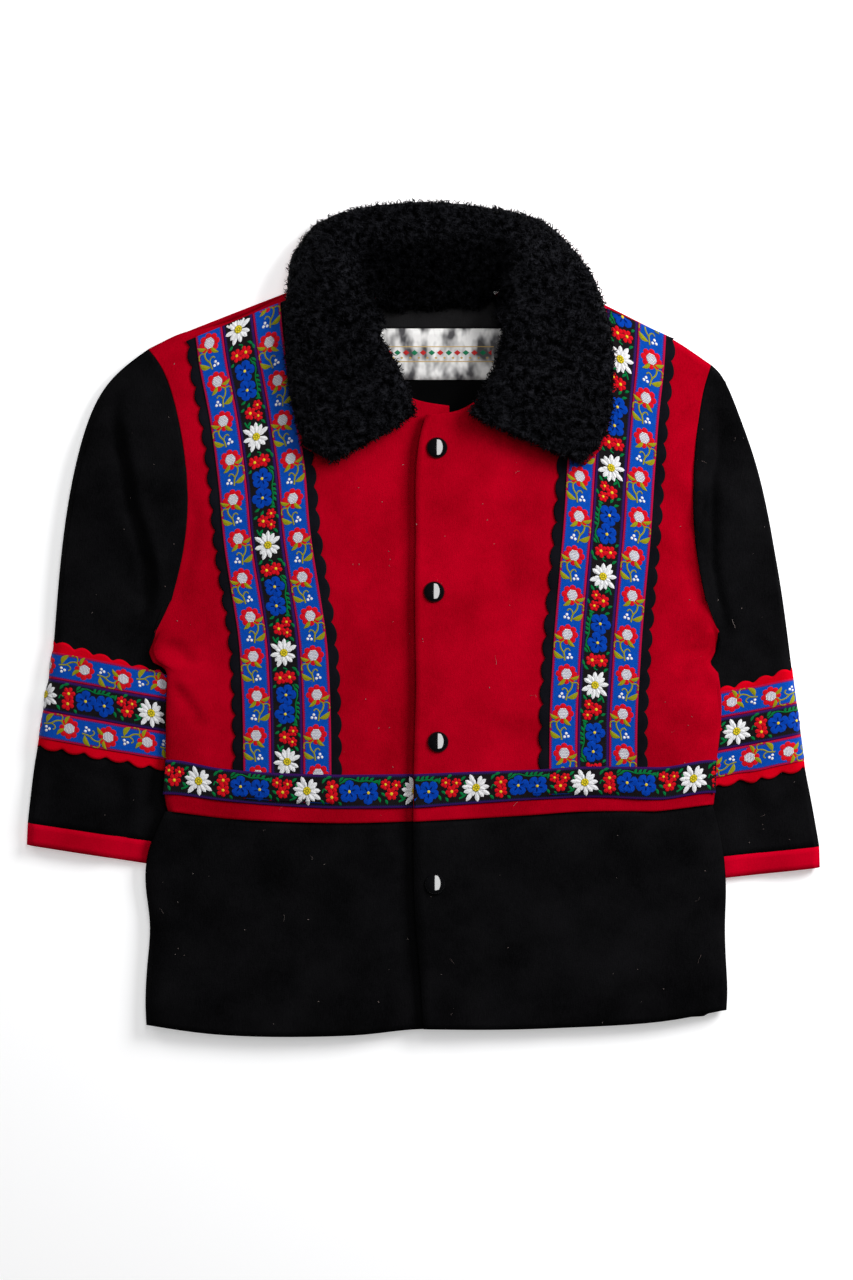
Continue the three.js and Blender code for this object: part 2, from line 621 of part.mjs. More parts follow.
// The plan of the back of the bodice, from the wearer's right to the left.
function backPlan() {
  const sideColumns = (side) => {
    const line = sideLine(BODICE_SIDES, side);
    const out = away[side];
    const places = [
      line,
      (y) => line(y) - out * EDGE,
      (y) => out * Math.min(Math.abs(line(y)) - EDGE - 3, tuck[side](y) - 2),
      (y) => out * Math.min(Math.abs(line(y)) - EDGE - 9, tuck[side](y) - 14),
    ];
    return places.map((x, i) => {
      const ys = BODICE_SIDES.map((row) => row[`y${side}`]);
      const top = i === 0 ? ys.at(-1) : meet(x, shoulder[side], 195);
      const straight = bodiceColumn(x, top, side, true).slice(0, -2).map((p) => p[1]);
      const rows = i < 2 ? ys.slice(0, -1) : straight;
      return [...rows, top - SHOULDER_EDGE[side], top].map((y) => [x(y), y]);
    });
  };
  const middle = BACK_NECK_TIPS.map(({ tip, low }, i) => {
    const start = bodiceEdge(low);
    const x = (y) => mix(low, tip, (y - start) / (backNeck(tip) - start));
    const edge = i === 0 || i === BACK_NECK_TIPS.length - 1;
    return bodiceColumn(x, backNeck(tip), low < 0 ? 'R' : 'L', edge);
  });
  return [...sideColumns('R'), ...middle, ...sideColumns('L').reverse()];
}

// The outer and inner faces of a back panel, whose outer face is its underside.
function backFaces(plan, { drop = 0, closedTo, topped = [], bed = [] }) {
  const rows = plan[0].length;
  const last = plan.length - 1;
  const faces = { outer: [], inner: [] };
  for (let r = 0; r < rows; r += 1) {
    const lines = { outer: [], inner: [] };
    plan.forEach((column, c) => {
      const [x, y] = column[r];
      const side = c <= last / 2 ? 'R' : 'L';
      const edge = (c === 0 || c === last) && r <= closedTo;
      const top = r === rows - 1 && topped.includes(c);
      const flat = edge || top ? 0 : 1;
      const middle = halfHeight(side, x, y, drop) - GAP / 2;
      const base = backBase(side, x, y) + (bed.includes(r) ? RIBBON_BED : 0);
      lines.outer.push(point(x, y, mix(middle, base, flat)));
      const inner = inset(column, r, side, { seam: edge, top });
      lines.inner.push(point(...inner, mix(middle, base + WOOL, flat)));
    });
    faces.outer.push(lines.outer);
    faces.inner.push(lines.inner);
  }
  return faces;
}

const backColumns = backPlan();
const neckColumns = BACK_NECK_TIPS.slice(1, -1).map((_, i) => SIDE_COLUMNS + 1 + i);
const back = backFaces(backColumns, {
  closedTo: UNDERARM,
  topped: backColumns.map((_, c) => c).filter((c) => !neckColumns.includes(c)),
  bed: RIBBON_ROWS,
});
add('back_upper', wall(back.outer, back.inner), 'redWool');

// ---- Skirt --------------------------------------------------------------------------------------

// One column of a skirt panel, from the bodice down to the hem.
function skirtColumn(x, side, setback) {
  const ys = SKIRT_SIDES.map((row) => row[`y${side}`]);
  const start = meet(x, bodiceEdge, -135) - GAP;
  const end = meet(x, hem, -285) + setback;
  return ys.map((y) => mix(start, end, (y - ys[0]) / (ys.at(-1) - ys[0]))).map((y) => [x(y), y]);
}

function skirtSide(side, distance, setback) {
  const line = sideLine(SKIRT_SIDES, side);
  const ys = SKIRT_SIDES.map((row) => row[`y${side}`]);
  return ys.map((y, i) => [line(y) - away[side] * distance, i === ys.length - 1 ? y + setback : y]);
}

const SKIRT_COLUMNS = {
  R: [-160, -115, -62, -40, -17, UNDER_EDGE],
  L: [160, 110, 62, 40, 14],
};
for (const side of ['R', 'L']) {
  const columns = SKIRT_COLUMNS[side].map((x) => skirtColumn(() => x, side, 0));
  if (side === 'L') columns.push(skirtColumn(frontEdge, side, 0));
  const plan = [skirtSide(side, 0, 0), skirtSide(side, EDGE, 0), ...columns];
  const faces = frontFaces(side, plan, { drop: SKIRT_DROP, closedTo: plan[0].length });
  add(`front_lower_${side.toLowerCase()}`, wall(faces.outer, faces.inner), 'blackWool');
}

function skirtBackPlan() {
  const halves = Object.fromEntries(['R', 'L'].map((side) => {
    const out = away[side];
    const line = sideLine(SKIRT_SIDES, side);
    const lifted = [2, 14].map((clear, i) => {
      const x = (y) => out * Math.min(Math.abs(line(y)) - EDGE - 3 - 6 * i, tuck[side](y) - clear);
      return skirtColumn(x, side, HEM_SETBACK);
    });
    return [side, [skirtSide(side, 0, HEM_SETBACK), skirtSide(side, EDGE, HEM_SETBACK), ...lifted]];
  }));
  const middle = BACK_NECK_TIPS.map(({ low }) => {
    return skirtColumn(() => low, low < 0 ? 'R' : 'L', HEM_SETBACK);
  });
  return [...halves.R, ...middle, ...halves.L.reverse()];
}
const skirtBack = backFaces(skirtBackPlan(), { drop: SKIRT_DROP, closedTo: SKIRT_SIDES.length });
add('back_lower', wall(skirtBack.outer, skirtBack.inner), 'blackWool');

// ---- Sleeves ------------------------------------------------------------------------------------

// The armhole of the bodice in plan, from the shoulder point to the underarm, moved out by the gap.
function armhole(side) {
  const edge = bodice[side].outer.slice(UNDERARM).map((line) => line[0]).reverse();
  return edge.map((p, i) => {
    const along = edge[Math.min(edge.length - 1, i + 1)].clone().sub(edge[Math.max(0, i - 1)]).setZ(0);
    const out = point(-along.y, along.x, 0).normalize().multiplyScalar(GAP * away[side]);
    return p.clone().add(out);
  });
}

// Rings of a sleeve from its table: the upper face from the outer fold to the tucked one, and back
// along the underside.
function sleeveRings(side, rows) {
  const arm = armhole(side);
  const runs = [0];
  arm.slice(1).forEach((p, i) => runs.push(runs[i] + Math.hypot(p.x - arm[i].x, p.y - arm[i].y)));
  const parts = runs.map((run) => run / runs.at(-1));
  const last = arm.length - 1;
  const [first, end] = [arm[0], arm[last]];
  const rings = { outer: [], inner: [] };
  for (const row of rows) {
    const onArmhole = row.bulge === 1;
    const from = onArmhole ? first.clone().setZ(0) : point(row.ox, row.oy, 0);
    const to = onArmhole ? end.clone().setZ(0) : point(row.ix, row.iy, 0);
    const width = from.distanceTo(to);
    const plan = parts.map((part, k) => {
      let share = part;
      if (k === 1) share = mix(EDGE / width, part, row.bulge);
      if (k === last - 1) share = mix(1 - EDGE / width, part, row.bulge);
      const bend = arm[k].clone().sub(between(first, end, part)).setZ(0).multiplyScalar(row.bulge);
      return { p: between(from, to, share).add(bend), inside: (1 - share) * width };
    });
    const reach = SLEEVE_REACH[side] * (1 - row.bulge);
    const upper = plan.map(({ p, inside }, k) => {
      const flat = mix(row.tucked, row.top, smooth(reach + 10, reach + 30, inside));
      return point(p.x, p.y, k === 0 || k === last ? (flat + row.base) / 2 : flat);
    });
    const lower = plan.slice(1, last).map(({ p }) => point(p.x, p.y, row.base)).reverse();
    const into = (k, next) => plan[next].p.clone().sub(plan[k].p).normalize().multiplyScalar(WOOL);
    const upperIn = upper.map((p, k) => {
      if (k === 0) return p.clone().add(into(0, 1));
      return k === last ? p.clone().add(into(last, last - 1)) : point(p.x, p.y, p.z - WOOL);
    });
    const lowerIn = lower.map((p) => point(p.x, p.y, p.z + WOOL));
    rings.outer.push([...upper, ...lower]);
    rings.inner.push([...upperIn, ...lowerIn]);
  }
  return rings;
}

const ringAt = (rings, from, to, share) => rings[from].map((p, k) => between(p, rings[to][k], share));

const PAST_FOLD = 6;             // how far the outline of a sleeve's felt reaches past a fold
const PAST_TUCK = 22;            // and past the upper corner under the body, where the ring is skewed

// A rectangle of plan with scalloped long edges, from the outer fold to the tucked one.
function scallopedBand(upperFrom, upperTo, lowerFrom, lowerTo) {
  const plan = ([x, y]) => new THREE.Vector2(x, y);
  const [a, b, c, d] = [upperFrom, upperTo, lowerTo, lowerFrom].map(plan);
  const down = d.clone().sub(a).normalize();
  const upper = scallops([a, b], down);
  const lower = scallops([c, d], down.clone().negate());
  return [...upper, ...lower];
}

for (const side of ['R', 'L']) {
  const tag = side.toLowerCase();
  const rows = side === 'R' ? SLEEVE_R : SLEEVE_L;
  const rings = sleeveRings(side, rows);
  const cut = (from, to) => [rings.outer.slice(from, to), rings.inner.slice(from, to)];
  add(`sleeve_${tag}`, tube(...cut(0, CUFF_FROM + 1)), 'blackWool');

  const [cuffTop, cuffEnd] = [rows[CUFF_FROM], rows[CUFF_TO]];
  const start = GAP / Math.hypot(cuffEnd.ox - cuffTop.ox, cuffEnd.oy - cuffTop.oy);
  const cuff = ['outer', 'inner'].map((face) => {
    return [ringAt(rings[face], CUFF_FROM, CUFF_TO, start), rings[face][CUFF_TO]];
  });
  add(`cuff_${tag}`, tube(...cuff), 'redWool');

  const bandRings = rings.outer.slice(FELT_FROM, BAND_TO + 1);
  const ways = outwardRing(bandRings, waysOut(bandRings, true));
  const felt = tube(moved(bandRings, ways, GAP + FELT), moved(bandRings, ways, GAP));
  const corner = (row, name, far) => {
    const [o, i] = [point(row.ox, row.oy, 0), point(row.ix, row.iy, 0)];
    const along = i.clone().sub(o).normalize().multiplyScalar(far);
    return name === 'o' ? o.sub(along).toArray() : i.add(along).toArray();
  };
  const [upper, lower] = [rows[FELT_FROM], rows[BAND_TO]];
  const outline = scallopedBand(
    corner(upper, 'o', PAST_FOLD), corner(upper, 'i', PAST_TUCK),
    corner(lower, 'o', PAST_FOLD), corner(lower, 'i', PAST_FOLD),
  );
  add(`sleeve_felt_${tag}`, trimmed(felt, outline), 'redFelt');

  const length = bandRings[1][0].distanceTo(bandRings[2][0]);
  ['blue_upper', 'edel', 'blue_lower'].forEach((name, i) => {
    const lines = [BAND_LINES[i] + GAP / 2 / length, BAND_LINES[i + 1] - GAP / 2 / length];
    const layer = (distance) => {
      const grid = moved(bandRings, ways, distance);
      return lines.map((share) => ringAt(grid, 1, 2, share));
    };
    const geometry = tube(layer(BAND_STACK), layer(BAND_STACK - RIBBON));
    add(`sleeve_${name}_${tag}`, geometry, name === 'edel' ? 'darkRibbon' : 'blueRibbon');
  });
}

// ---- Ribbons on the fronts ----------------------------------------------------------------------

for (const side of ['R', 'L']) {
  const tag = side.toLowerCase();
  const { outer, ways } = bodice[side];
  const [low, high] = RIBBON_ROWS;
  const lay = (distance, columns) => {
    const grid = moved(outer, ways, distance);
    const start = grid[low].map((p, c) => between(p, grid[high][c], STRIP_END));
    return [start, ...grid.slice(high, -1)].map((line) => line.slice(...columns));
  };

  const feltColumns = [FRONT_COLUMN.feltOut, FRONT_COLUMN.feltIn + 1];
  const felt = wall(lay(GAP + FELT, feltColumns), lay(GAP, feltColumns));
  const plan = (column) => outer.slice(low, -1).map((line) => {
    return new THREE.Vector2(line[column].x, line[column].y);
  });
  const extended = (line) => {
    const past = line.at(-1).clone().sub(line.at(-3)).setLength(PAST_FOLD).add(line.at(-1));
    return [...line, past];
  };
  const toMiddle = new THREE.Vector2(-away[side], 0);
  const outerEdge = scallops(extended(plan(FRONT_COLUMN.feltOut)), toMiddle);
  const innerEdge = scallops(extended(plan(FRONT_COLUMN.feltIn)), toMiddle.clone().negate());
  add(`front_felt_${tag}`, trimmed(felt, [...outerEdge, ...innerEdge.reverse()]), 'blackFelt');

  const ribbons = [['blue_outer', 'blueOut'], ['edel', 'edelOut'], ['blue_inner', 'edelIn']];
  for (const [name, first] of ribbons) {
    const column = FRONT_COLUMN[first];
    const layer = (distance) => lay(distance, [column, column + 2]).map(([a, b]) => {
      const share = GAP / 2 / a.distanceTo(b);
      return [between(a, b, share), between(b, a, share)];
    });
    const geometry = wall(layer(BAND_STACK), layer(BAND_STACK - RIBBON));
    add(`front_${name}_${tag}`, geometry, name === 'edel' ? 'darkRibbon' : 'blueRibbon');
  }

  const onStrip = (c) => c >= FRONT_COLUMN.feltOut && c <= FRONT_COLUMN.feltIn;
  const waist = (thickness) => {
    const steps = outer[0].map((_, c) => (onStrip(c) ? BAND_STACK + GAP : GAP) + thickness);
    return moved(outer, ways, steps).slice(low, high + 1);
  };
  add(`waist_ribbon_${tag}`, wall(waist(RIBBON), waist(0)), 'darkRibbon');
}

const backWays = outward(waysOut(back.outer, false), -1);
const [bedStart, bedEnd] = RIBBON_ROWS;
const waistBack = (distance) => moved(back.outer, backWays, distance).slice(bedStart, bedEnd + 1);
add('waist_ribbon_back', wall(waistBack(RIBBON_BED), waistBack(GAP)), 'darkRibbon');

// ---- Collar -------------------------------------------------------------------------------------

// Height of what the collar lies on, at a distance from the roll.
function collarBase(row, share) {
  return share < 0.5 ? mix(row.zi, row.zm, share * 2) : mix(row.zm, row.zo, share * 2 - 1);
}

// Points of a collar section, given as distances from the roll and heights over what it lies on.
function collarSection(row, places) {
  const [from, to] = [point(row.ix, row.iy, 0), point(row.ox, row.oy, 0)];
  const width = from.distanceTo(to);
  return places(width).map(([distance, height]) => {
    const p = between(from, to, distance / width);
    return p.setZ(collarBase(row, Math.min(1, distance / width)) + height);
  });
}

const FUR_BASE = WOOL + GAP;
const FUR_BEVEL = 1.5;
function furSection(row) {
  return collarSection(row, (width) => [
    [0, 4], [2.5, 0], [UNDER_START - 0.8, 0], [UNDER_START - GAP, FUR_BASE],
    [width * 0.5, FUR_BASE], [width - FUR_BEVEL, FUR_BASE], [width, FUR_BASE + 3],
    [width - 3, FUR_BASE + FUR - 1.5], [width * 0.5, FUR_BASE + FUR],
    [UNDER_START + 3, FUR_BASE + FUR + ROLL * row.roll], [1.5, FUR_BASE + FUR - 2],
  ]);
}

function underSection(row) {
  return collarSection(row, (width) => [
    [UNDER_START, WOOL], [width * 0.5, WOOL], [width - FUR_BEVEL, WOOL], [width + UNDER_SHOWS, WOOL],
    [width + UNDER_SHOWS, 0], [width - FUR_BEVEL, 0], [width * 0.5, 0], [UNDER_START, 0],
  ]);
}

const collarLeft = [...COLLAR_L].reverse();
add('collar_fur_r', loft(COLLAR_R.map(furSection)), 'fur');
add('collar_fur_l', loft(collarLeft.map(furSection)), 'fur');
const wholeCollar = [...COLLAR_R.slice(0, -1), ...collarLeft];
add('collar_under', loft(wholeCollar.map(underSection)), 'redWool');

// ---- Inside the neck ----------------------------------------------------------------------------

// A flat piece inside the back, from plan lines that run from the wearer's right to the left.
function insidePiece(lines, layer, thickness) {
  const at = (z) => lines.map((line) => line.map(([x, y]) => point(x, y, z)));
  return wall(at(layer + thickness), at(layer));
}

const NECK_XS = [-43, -24, -4, 19, 41];
const neckLine = (depth) => NECK_XS.map((x) => [x, backNeck(x) - depth]);
const liningLayer = WOOL + GAP;
const tapeLayer = liningLayer + LINING + GAP;
const lining = [[-58, 138], [-30, 138], [-2, 138], [28, 138], [58, 138]];
const liningUpper = [[-54, 204], [-30, 204], [-2, 204], [26, 204], [52, 204]];
add('neck_lining', insidePiece([lining, liningUpper, neckLine(1)], liningLayer, LINING), 'lining');
const tapeLow = backNeck(-4) - TAPE_REACH;
const tapeEdge = NECK_XS.map((x) => [x * TAPE_FLARE, tapeLow]);
add('neck_tape', insidePiece([tapeEdge, neckLine(1.2)], tapeLayer, LINING), 'tape');
const labelTop = tapeLow - GAP;
const labelLine = (y) => [-44, -20, 3, 26, 49].map((x) => [x, y]);
const labelEdges = [labelTop - LABEL_HEIGHT, labelTop].map(labelLine);
add('neck_label', insidePiece(labelEdges, tapeLayer, LABEL), 'label');

// ---- Snaps --------------------------------------------------------------------------------------

// A round piece turned about its upright axis, from radii and heights.
function turned(profile) {
  const geometry = new THREE.LatheGeometry(profile.map(([r, z]) => new THREE.Vector2(r, z)), 20);
  return geometry.rotateX(Math.PI / 2);
}

const radius = SNAP_DIAMETER / 2;
const capProfile = [
  [0, 0], [radius - 0.5, 0], [radius, 0.6], [radius * 0.9, SNAP_HEIGHT * 0.6],
  [radius * 0.62, SNAP_HEIGHT * 0.88], [radius * 0.3, SNAP_HEIGHT * 0.98], [0, SNAP_HEIGHT],
];
const socket = SOCKET_DIAMETER / 2;
const socketProfile = [[0, 0], [socket, 0], [socket, SOCKET_HEIGHT], [0, SOCKET_HEIGHT]];
SNAPS.forEach(({ x, y }, i) => {
  const drop = y < bodiceEdge(x) ? SKIRT_DROP : 0;
  const cap = add(`snap_cap_${i + 1}`, turned(capProfile), 'gloss');
  cap.position.set(x, y, frontTop('L', x, y) - drop + GAP);
  const base = add(`snap_socket_${i + 1}`, turned(socketProfile), 'metal');
  base.position.set(x, y, frontTop('R', x, y) - drop + GAP);
});

export default jacket;
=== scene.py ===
# %% [markdown]
# # A child's wool jacket, laid flat
#
# The jacket lies on its back with the front up. Its cloth was cut and sewn as solids in CAD: walls of
# felted wool, scalloped felt strips, woven ribbons, a fur collar and four snaps. This lesson turns those
# stiff solids into cloth. Each one is copied, rounded and creased, the strips are laid on it again, and
# the flowers are woven into the ribbons with Geometry Nodes.
#
# All lengths are in metres. +X is the wearer's left, +Y runs from the hem to the neck, +Z is up.

# %% Load the frame that everything is built on
import math
import random

import bmesh
import bpy
import numpy as np
from mathutils import Matrix, Vector, noise
from mathutils.bvhtree import BVHTree


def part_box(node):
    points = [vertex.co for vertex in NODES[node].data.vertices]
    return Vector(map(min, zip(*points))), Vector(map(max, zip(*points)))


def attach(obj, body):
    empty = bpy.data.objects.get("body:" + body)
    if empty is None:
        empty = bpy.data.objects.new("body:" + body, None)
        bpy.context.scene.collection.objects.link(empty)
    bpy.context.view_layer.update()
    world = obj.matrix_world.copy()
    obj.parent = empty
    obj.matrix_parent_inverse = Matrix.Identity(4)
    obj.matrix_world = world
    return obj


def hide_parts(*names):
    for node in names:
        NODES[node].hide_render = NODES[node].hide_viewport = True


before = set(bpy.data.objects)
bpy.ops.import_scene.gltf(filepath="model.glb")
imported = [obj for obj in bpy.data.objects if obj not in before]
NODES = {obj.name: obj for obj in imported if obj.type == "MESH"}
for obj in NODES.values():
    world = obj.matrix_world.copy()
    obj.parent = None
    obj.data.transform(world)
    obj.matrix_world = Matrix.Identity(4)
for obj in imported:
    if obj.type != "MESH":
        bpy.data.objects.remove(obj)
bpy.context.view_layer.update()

MM = 0.001

# %% [markdown]
# ## The camera
#
# A laid-out garment is best seen from straight above. A long lens far away shows almost no perspective,
# so both sleeves are seen from the same angle. The lens follows from how much it has to take in: at the
# height of the chest, the view is 0.896 m tall.

# %% Camera above the middle of the jacket
CHEST = 12 * MM
VIEW_TALL = 0.896
CAMERA_UP = 2.6
VIEW_MIDDLE = (-6.65 * MM, -14 * MM)


def linked(name, data):
    """A new object at the origin, in the scene."""
    made = bpy.data.objects.new(name, data)
    bpy.context.collection.objects.link(made)
    return made


camera = bpy.data.cameras.new("camera")
camera.lens = camera.sensor_width * (CAMERA_UP - CHEST) / VIEW_TALL
camera.dof.use_dof = False
camera_object = linked("camera", camera)
camera_object.location = (*VIEW_MIDDLE, CAMERA_UP)
bpy.context.scene.camera = camera_object
bpy.context.scene.view_settings.view_transform = "Standard"
print("lens:", round(camera.lens, 1), "mm")

# %% [markdown]
# ## Finishes
#
# Two effects are used by many cloths, so each is built once as a group of shader nodes. Felted wool has
# short fibres that run with the cloth, cloudy patches where it was fulled more, and no shine. A woven
# ribbon has ribs across it and threads along it. The groups put out only a shade from 0 to 1 and a
# height. The shader itself stays in each material.

# %% Helpers for node trees
def add_node(tree, kind, inputs=None, **settings):
    """A new node with its settings, its inputs either fixed values or other nodes' outputs."""
    node = tree.nodes.new(kind)
    for name, value in settings.items():
        setattr(node, name, value)
    for key, value in (inputs or {}).items():
        if isinstance(value, bpy.types.NodeSocket):
            tree.links.new(value, node.inputs[key])
        else:
            node.inputs[key].default_value = value
    return node


def new_group(name, kind, sockets):
    """An empty node group with its named inputs and outputs, and its two end nodes."""
    tree = bpy.data.node_groups.new(name, kind)
    for in_out, socket, socket_type, default in sockets:
        item = tree.interface.new_socket(socket, in_out=in_out, socket_type=socket_type)
        if default is not None:
            item.default_value = default
    return tree, tree.nodes.new("NodeGroupInput"), tree.nodes.new("NodeGroupOutput")


def math_node(tree, operation, first, second=0.0, third=0.0):
    """The output of one Math node."""
    return add_node(tree, "ShaderNodeMath", {0: first, 1: second, 2: third}, operation=operation).outputs[0]


def noise_node(tree, vector, scale, detail, roughness=0.5):
    """The value of a noise texture, with its scale in features per metre."""
    inputs = {"Vector": vector, "Scale": scale, "Detail": detail, "Roughness": roughness}
    return add_node(tree, "ShaderNodeTexNoise", inputs).outputs[0]


def stretched(tree, vector, scale):
    """Coordinates stretched by a different factor on each axis."""
    return add_node(tree, "ShaderNodeMapping", {"Vector": vector, "Scale": scale}).outputs[0]

# %% Group: felted wool
# Sizes of the noise, in features per metre: fine grain, fibres that run along Y, and clouds.
GRAIN = 1100.0
FIBRES = (1900.0, 260.0, 1900.0)
CLOUDS = 26.0


def build_wool_group():
    """Felted wool: a shade of clouds and fibres, and the height of the fibres."""
    tree, start, end = new_group("felted_wool", "ShaderNodeTree", [
        ("INPUT", "Coordinates", "NodeSocketVector", None),
        ("INPUT", "Fibre", "NodeSocketFloat", 1.0),
        ("OUTPUT", "Shade", "NodeSocketFloat", None),
        ("OUTPUT", "Height", "NodeSocketFloat", None),
    ])
    at = start.outputs["Coordinates"]
    grain = noise_node(tree, at, GRAIN, 3.0, 0.65)
    fibre = noise_node(tree, stretched(tree, at, FIBRES), 1.0, 2.0, 0.6)
    clouds = noise_node(tree, at, CLOUDS, 3.0, 0.55)
    fibre = math_node(tree, "MULTIPLY", fibre, start.outputs["Fibre"])
    fine = math_node(tree, "MULTIPLY_ADD", grain, 0.5, math_node(tree, "MULTIPLY", fibre, 0.5))
    shade = math_node(tree, "MULTIPLY_ADD", clouds, 0.55, math_node(tree, "MULTIPLY", fine, 0.5))
    tree.links.new(math_node(tree, "MULTIPLY_ADD", shade, 2.3, -0.7), end.inputs["Shade"])
    tree.links.new(fine, end.inputs["Height"])
    return tree


WOOL_GROUP = build_wool_group()

# %% Group: ribs and threads of a woven ribbon
def build_weave_group():
    """A woven ribbon: ribs across it and threads along it, so many of each to the metre."""
    tree, start, end = new_group("ribbon_weave", "ShaderNodeTree", [
        ("INPUT", "Coordinates", "NodeSocketVector", None),
        ("INPUT", "Ribs", "NodeSocketFloat", 2000.0),
        ("INPUT", "Threads", "NodeSocketFloat", 2600.0),
        ("OUTPUT", "Shade", "NodeSocketFloat", None),
        ("OUTPUT", "Height", "NodeSocketFloat", None),
    ])
    parts = add_node(tree, "ShaderNodeSeparateXYZ", {0: start.outputs["Coordinates"]})
    turns = {}
    for axis, name in ((0, "Ribs"), (1, "Threads")):
        phase = math_node(tree, "MULTIPLY", parts.outputs[axis], start.outputs[name])
        turns[name] = math_node(tree, "SINE", math_node(tree, "MULTIPLY", phase, math.tau))
    woven = math_node(tree, "MULTIPLY", turns["Ribs"], turns["Threads"])
    wear = noise_node(tree, start.outputs["Coordinates"], 320.0, 2.0)
    shade = math_node(tree, "MULTIPLY_ADD", woven, 0.22, math_node(tree, "MULTIPLY_ADD", wear, 0.7, 0.15))
    height = math_node(tree, "MULTIPLY_ADD", turns["Ribs"], 0.35, math_node(tree, "MULTIPLY", woven, 0.35))
    tree.links.new(shade, end.inputs["Shade"])
    tree.links.new(height, end.inputs["Height"])
    return tree


WEAVE_GROUP = build_weave_group()
print("groups:", WOOL_GROUP.name, WEAVE_GROUP.name)

# %% Helpers for materials
def new_material(name, **sockets):
    """A material with a Principled shader, its plain values set on the shader's own sockets."""
    material = bpy.data.materials.new(name)
    material.use_nodes = True
    tree = material.node_tree
    tree.nodes.clear()
    shader = tree.nodes.new("ShaderNodeBsdfPrincipled")
    out = tree.nodes.new("ShaderNodeOutputMaterial")
    tree.links.new(shader.outputs[0], out.inputs[0])
    for key, value in sockets.items():
        shader.inputs[key.replace("_", " ")].default_value = value
    return material, tree, shader


def blend_colours(tree, factor, low, high):
    """A colour between two others, which are fixed colours or outputs."""
    return add_node(tree, "ShaderNodeMix", {0: factor, 6: low, 7: high}, data_type="RGBA").outputs[2]


def rgb(red, green, blue):
    """An opaque colour."""
    return (red, green, blue, 1.0)


def paint(tree, shader, shade, dark, light):
    """Gives a shader a colour between two others, which follows a shade from 0 to 1."""
    colour = blend_colours(tree, shade, rgb(*dark), rgb(*light))
    tree.links.new(colour, shader.inputs["Base Color"])


def bump(tree, shader, height, strength, distance):
    """Raises the shading by a height, with the distance in metres."""
    inputs = {"Height": height, "Strength": strength, "Distance": distance}
    tree.links.new(add_node(tree, "ShaderNodeBump", inputs).outputs[0], shader.inputs["Normal"])


def object_coordinates(tree):
    """A point's place on the jacket, in metres."""
    return add_node(tree, "ShaderNodeTexCoord").outputs["Object"]

# %% Felted wool, in red and in black
# Height of the wool's nap.
NAP = 0.5 * MM


def wool(name, dark, light, fibre=1.0, relief=0.6, **sockets):
    """Felted wool between two colours."""
    material, tree, shader = new_material(name, **sockets)
    group = add_node(tree, "ShaderNodeGroup", node_tree=WOOL_GROUP)
    group.inputs["Fibre"].default_value = fibre
    tree.links.new(object_coordinates(tree), group.inputs["Coordinates"])
    paint(tree, shader, group.outputs["Shade"], dark, light)
    bump(tree, shader, group.outputs["Height"], relief, NAP)
    return material


MATT = {"Roughness": 1.0, "Specular_IOR_Level": 0.0}
RED_WOOL = wool("red_wool_cloth", (0.20, 0.0001, 0.0036), (0.46, 0.0003, 0.0125), **MATT)
BLACK_WOOL = wool("black_wool_cloth", (0.0008, 0.0008, 0.0009), (0.0072, 0.0070, 0.0079), relief=1.0,
                  Roughness=1.0, Specular_IOR_Level=0.012)
RED_FELT = wool("red_felt_cloth", (0.42, 0.0003, 0.0050), (0.72, 0.0008, 0.0150), fibre=0.4, **MATT)
CUFF_WOOL = wool("cuff_cloth", (0.36, 0.0001, 0.0080), (0.66, 0.0004, 0.0210), fibre=0.5, **MATT)
BLACK_FELT = wool("black_felt_cloth", (0.0030, 0.0030, 0.0042), (0.0105, 0.0105, 0.0150), fibre=0.4,
                  Roughness=1.0, Specular_IOR_Level=0.02)
LINING = wool("lining_cloth", (0.0012, 0.0012, 0.0013), (0.0032, 0.0032, 0.0035), fibre=0.2,
              Roughness=0.9, Specular_IOR_Level=0.05)
print("wools:", RED_WOOL.name, BLACK_WOOL.name, RED_FELT.name, BLACK_FELT.name, LINING.name)

# %% [markdown]
# A ribbon's colours follow its own length and width, not the room, so its materials read the UV map that
# each ribbon gets: U is the distance along it and V the distance from its middle, both in metres. The
# edge of the blue ribbon is woven crimson, the edge of the dark one purple.

# %% Grounds of the two ribbons
# Width of the coloured edge, where the line inside it ends, how far its dots swing out and how far apart
# they are, and the height of the ribs.
EDGE_WIDE = 1.3 * MM
LINE_END = 1.9 * MM
DOT_SWING = 0.35 * MM
DOT_PITCH = 1.6 * MM
RIB_HEIGHT = 0.2 * MM


def ribbon(name, ground_dark, ground_light, edge_colour, line_colour, half_width):
    """A woven ribbon: its ground, a coloured edge, and a dotted line inside the edge."""
    material, tree, shader = new_material(name, Roughness=0.55, Specular_IOR_Level=0.12)
    uv = add_node(tree, "ShaderNodeUVMap", uv_map="UVMap").outputs[0]
    group = add_node(tree, "ShaderNodeGroup", node_tree=WEAVE_GROUP)
    tree.links.new(uv, group.inputs["Coordinates"])
    parts = add_node(tree, "ShaderNodeSeparateXYZ", {0: uv})
    inside = math_node(tree, "SUBTRACT", half_width, math_node(tree, "ABSOLUTE", parts.outputs[1]))
    edge = math_node(tree, "LESS_THAN", inside, EDGE_WIDE)
    turn = math_node(tree, "MULTIPLY", parts.outputs[0], math.tau / DOT_PITCH)
    reach = math_node(tree, "MULTIPLY_ADD", math_node(tree, "SINE", turn), DOT_SWING, LINE_END)
    line = math_node(tree, "LESS_THAN", inside, reach)
    ground = blend_colours(tree, group.outputs["Shade"], rgb(*ground_dark), rgb(*ground_light))
    lined = blend_colours(tree, line, ground, rgb(*line_colour))
    tree.links.new(blend_colours(tree, edge, lined, rgb(*edge_colour)), shader.inputs["Base Color"])
    bump(tree, shader, group.outputs["Height"], 0.5, RIB_HEIGHT)
    return material


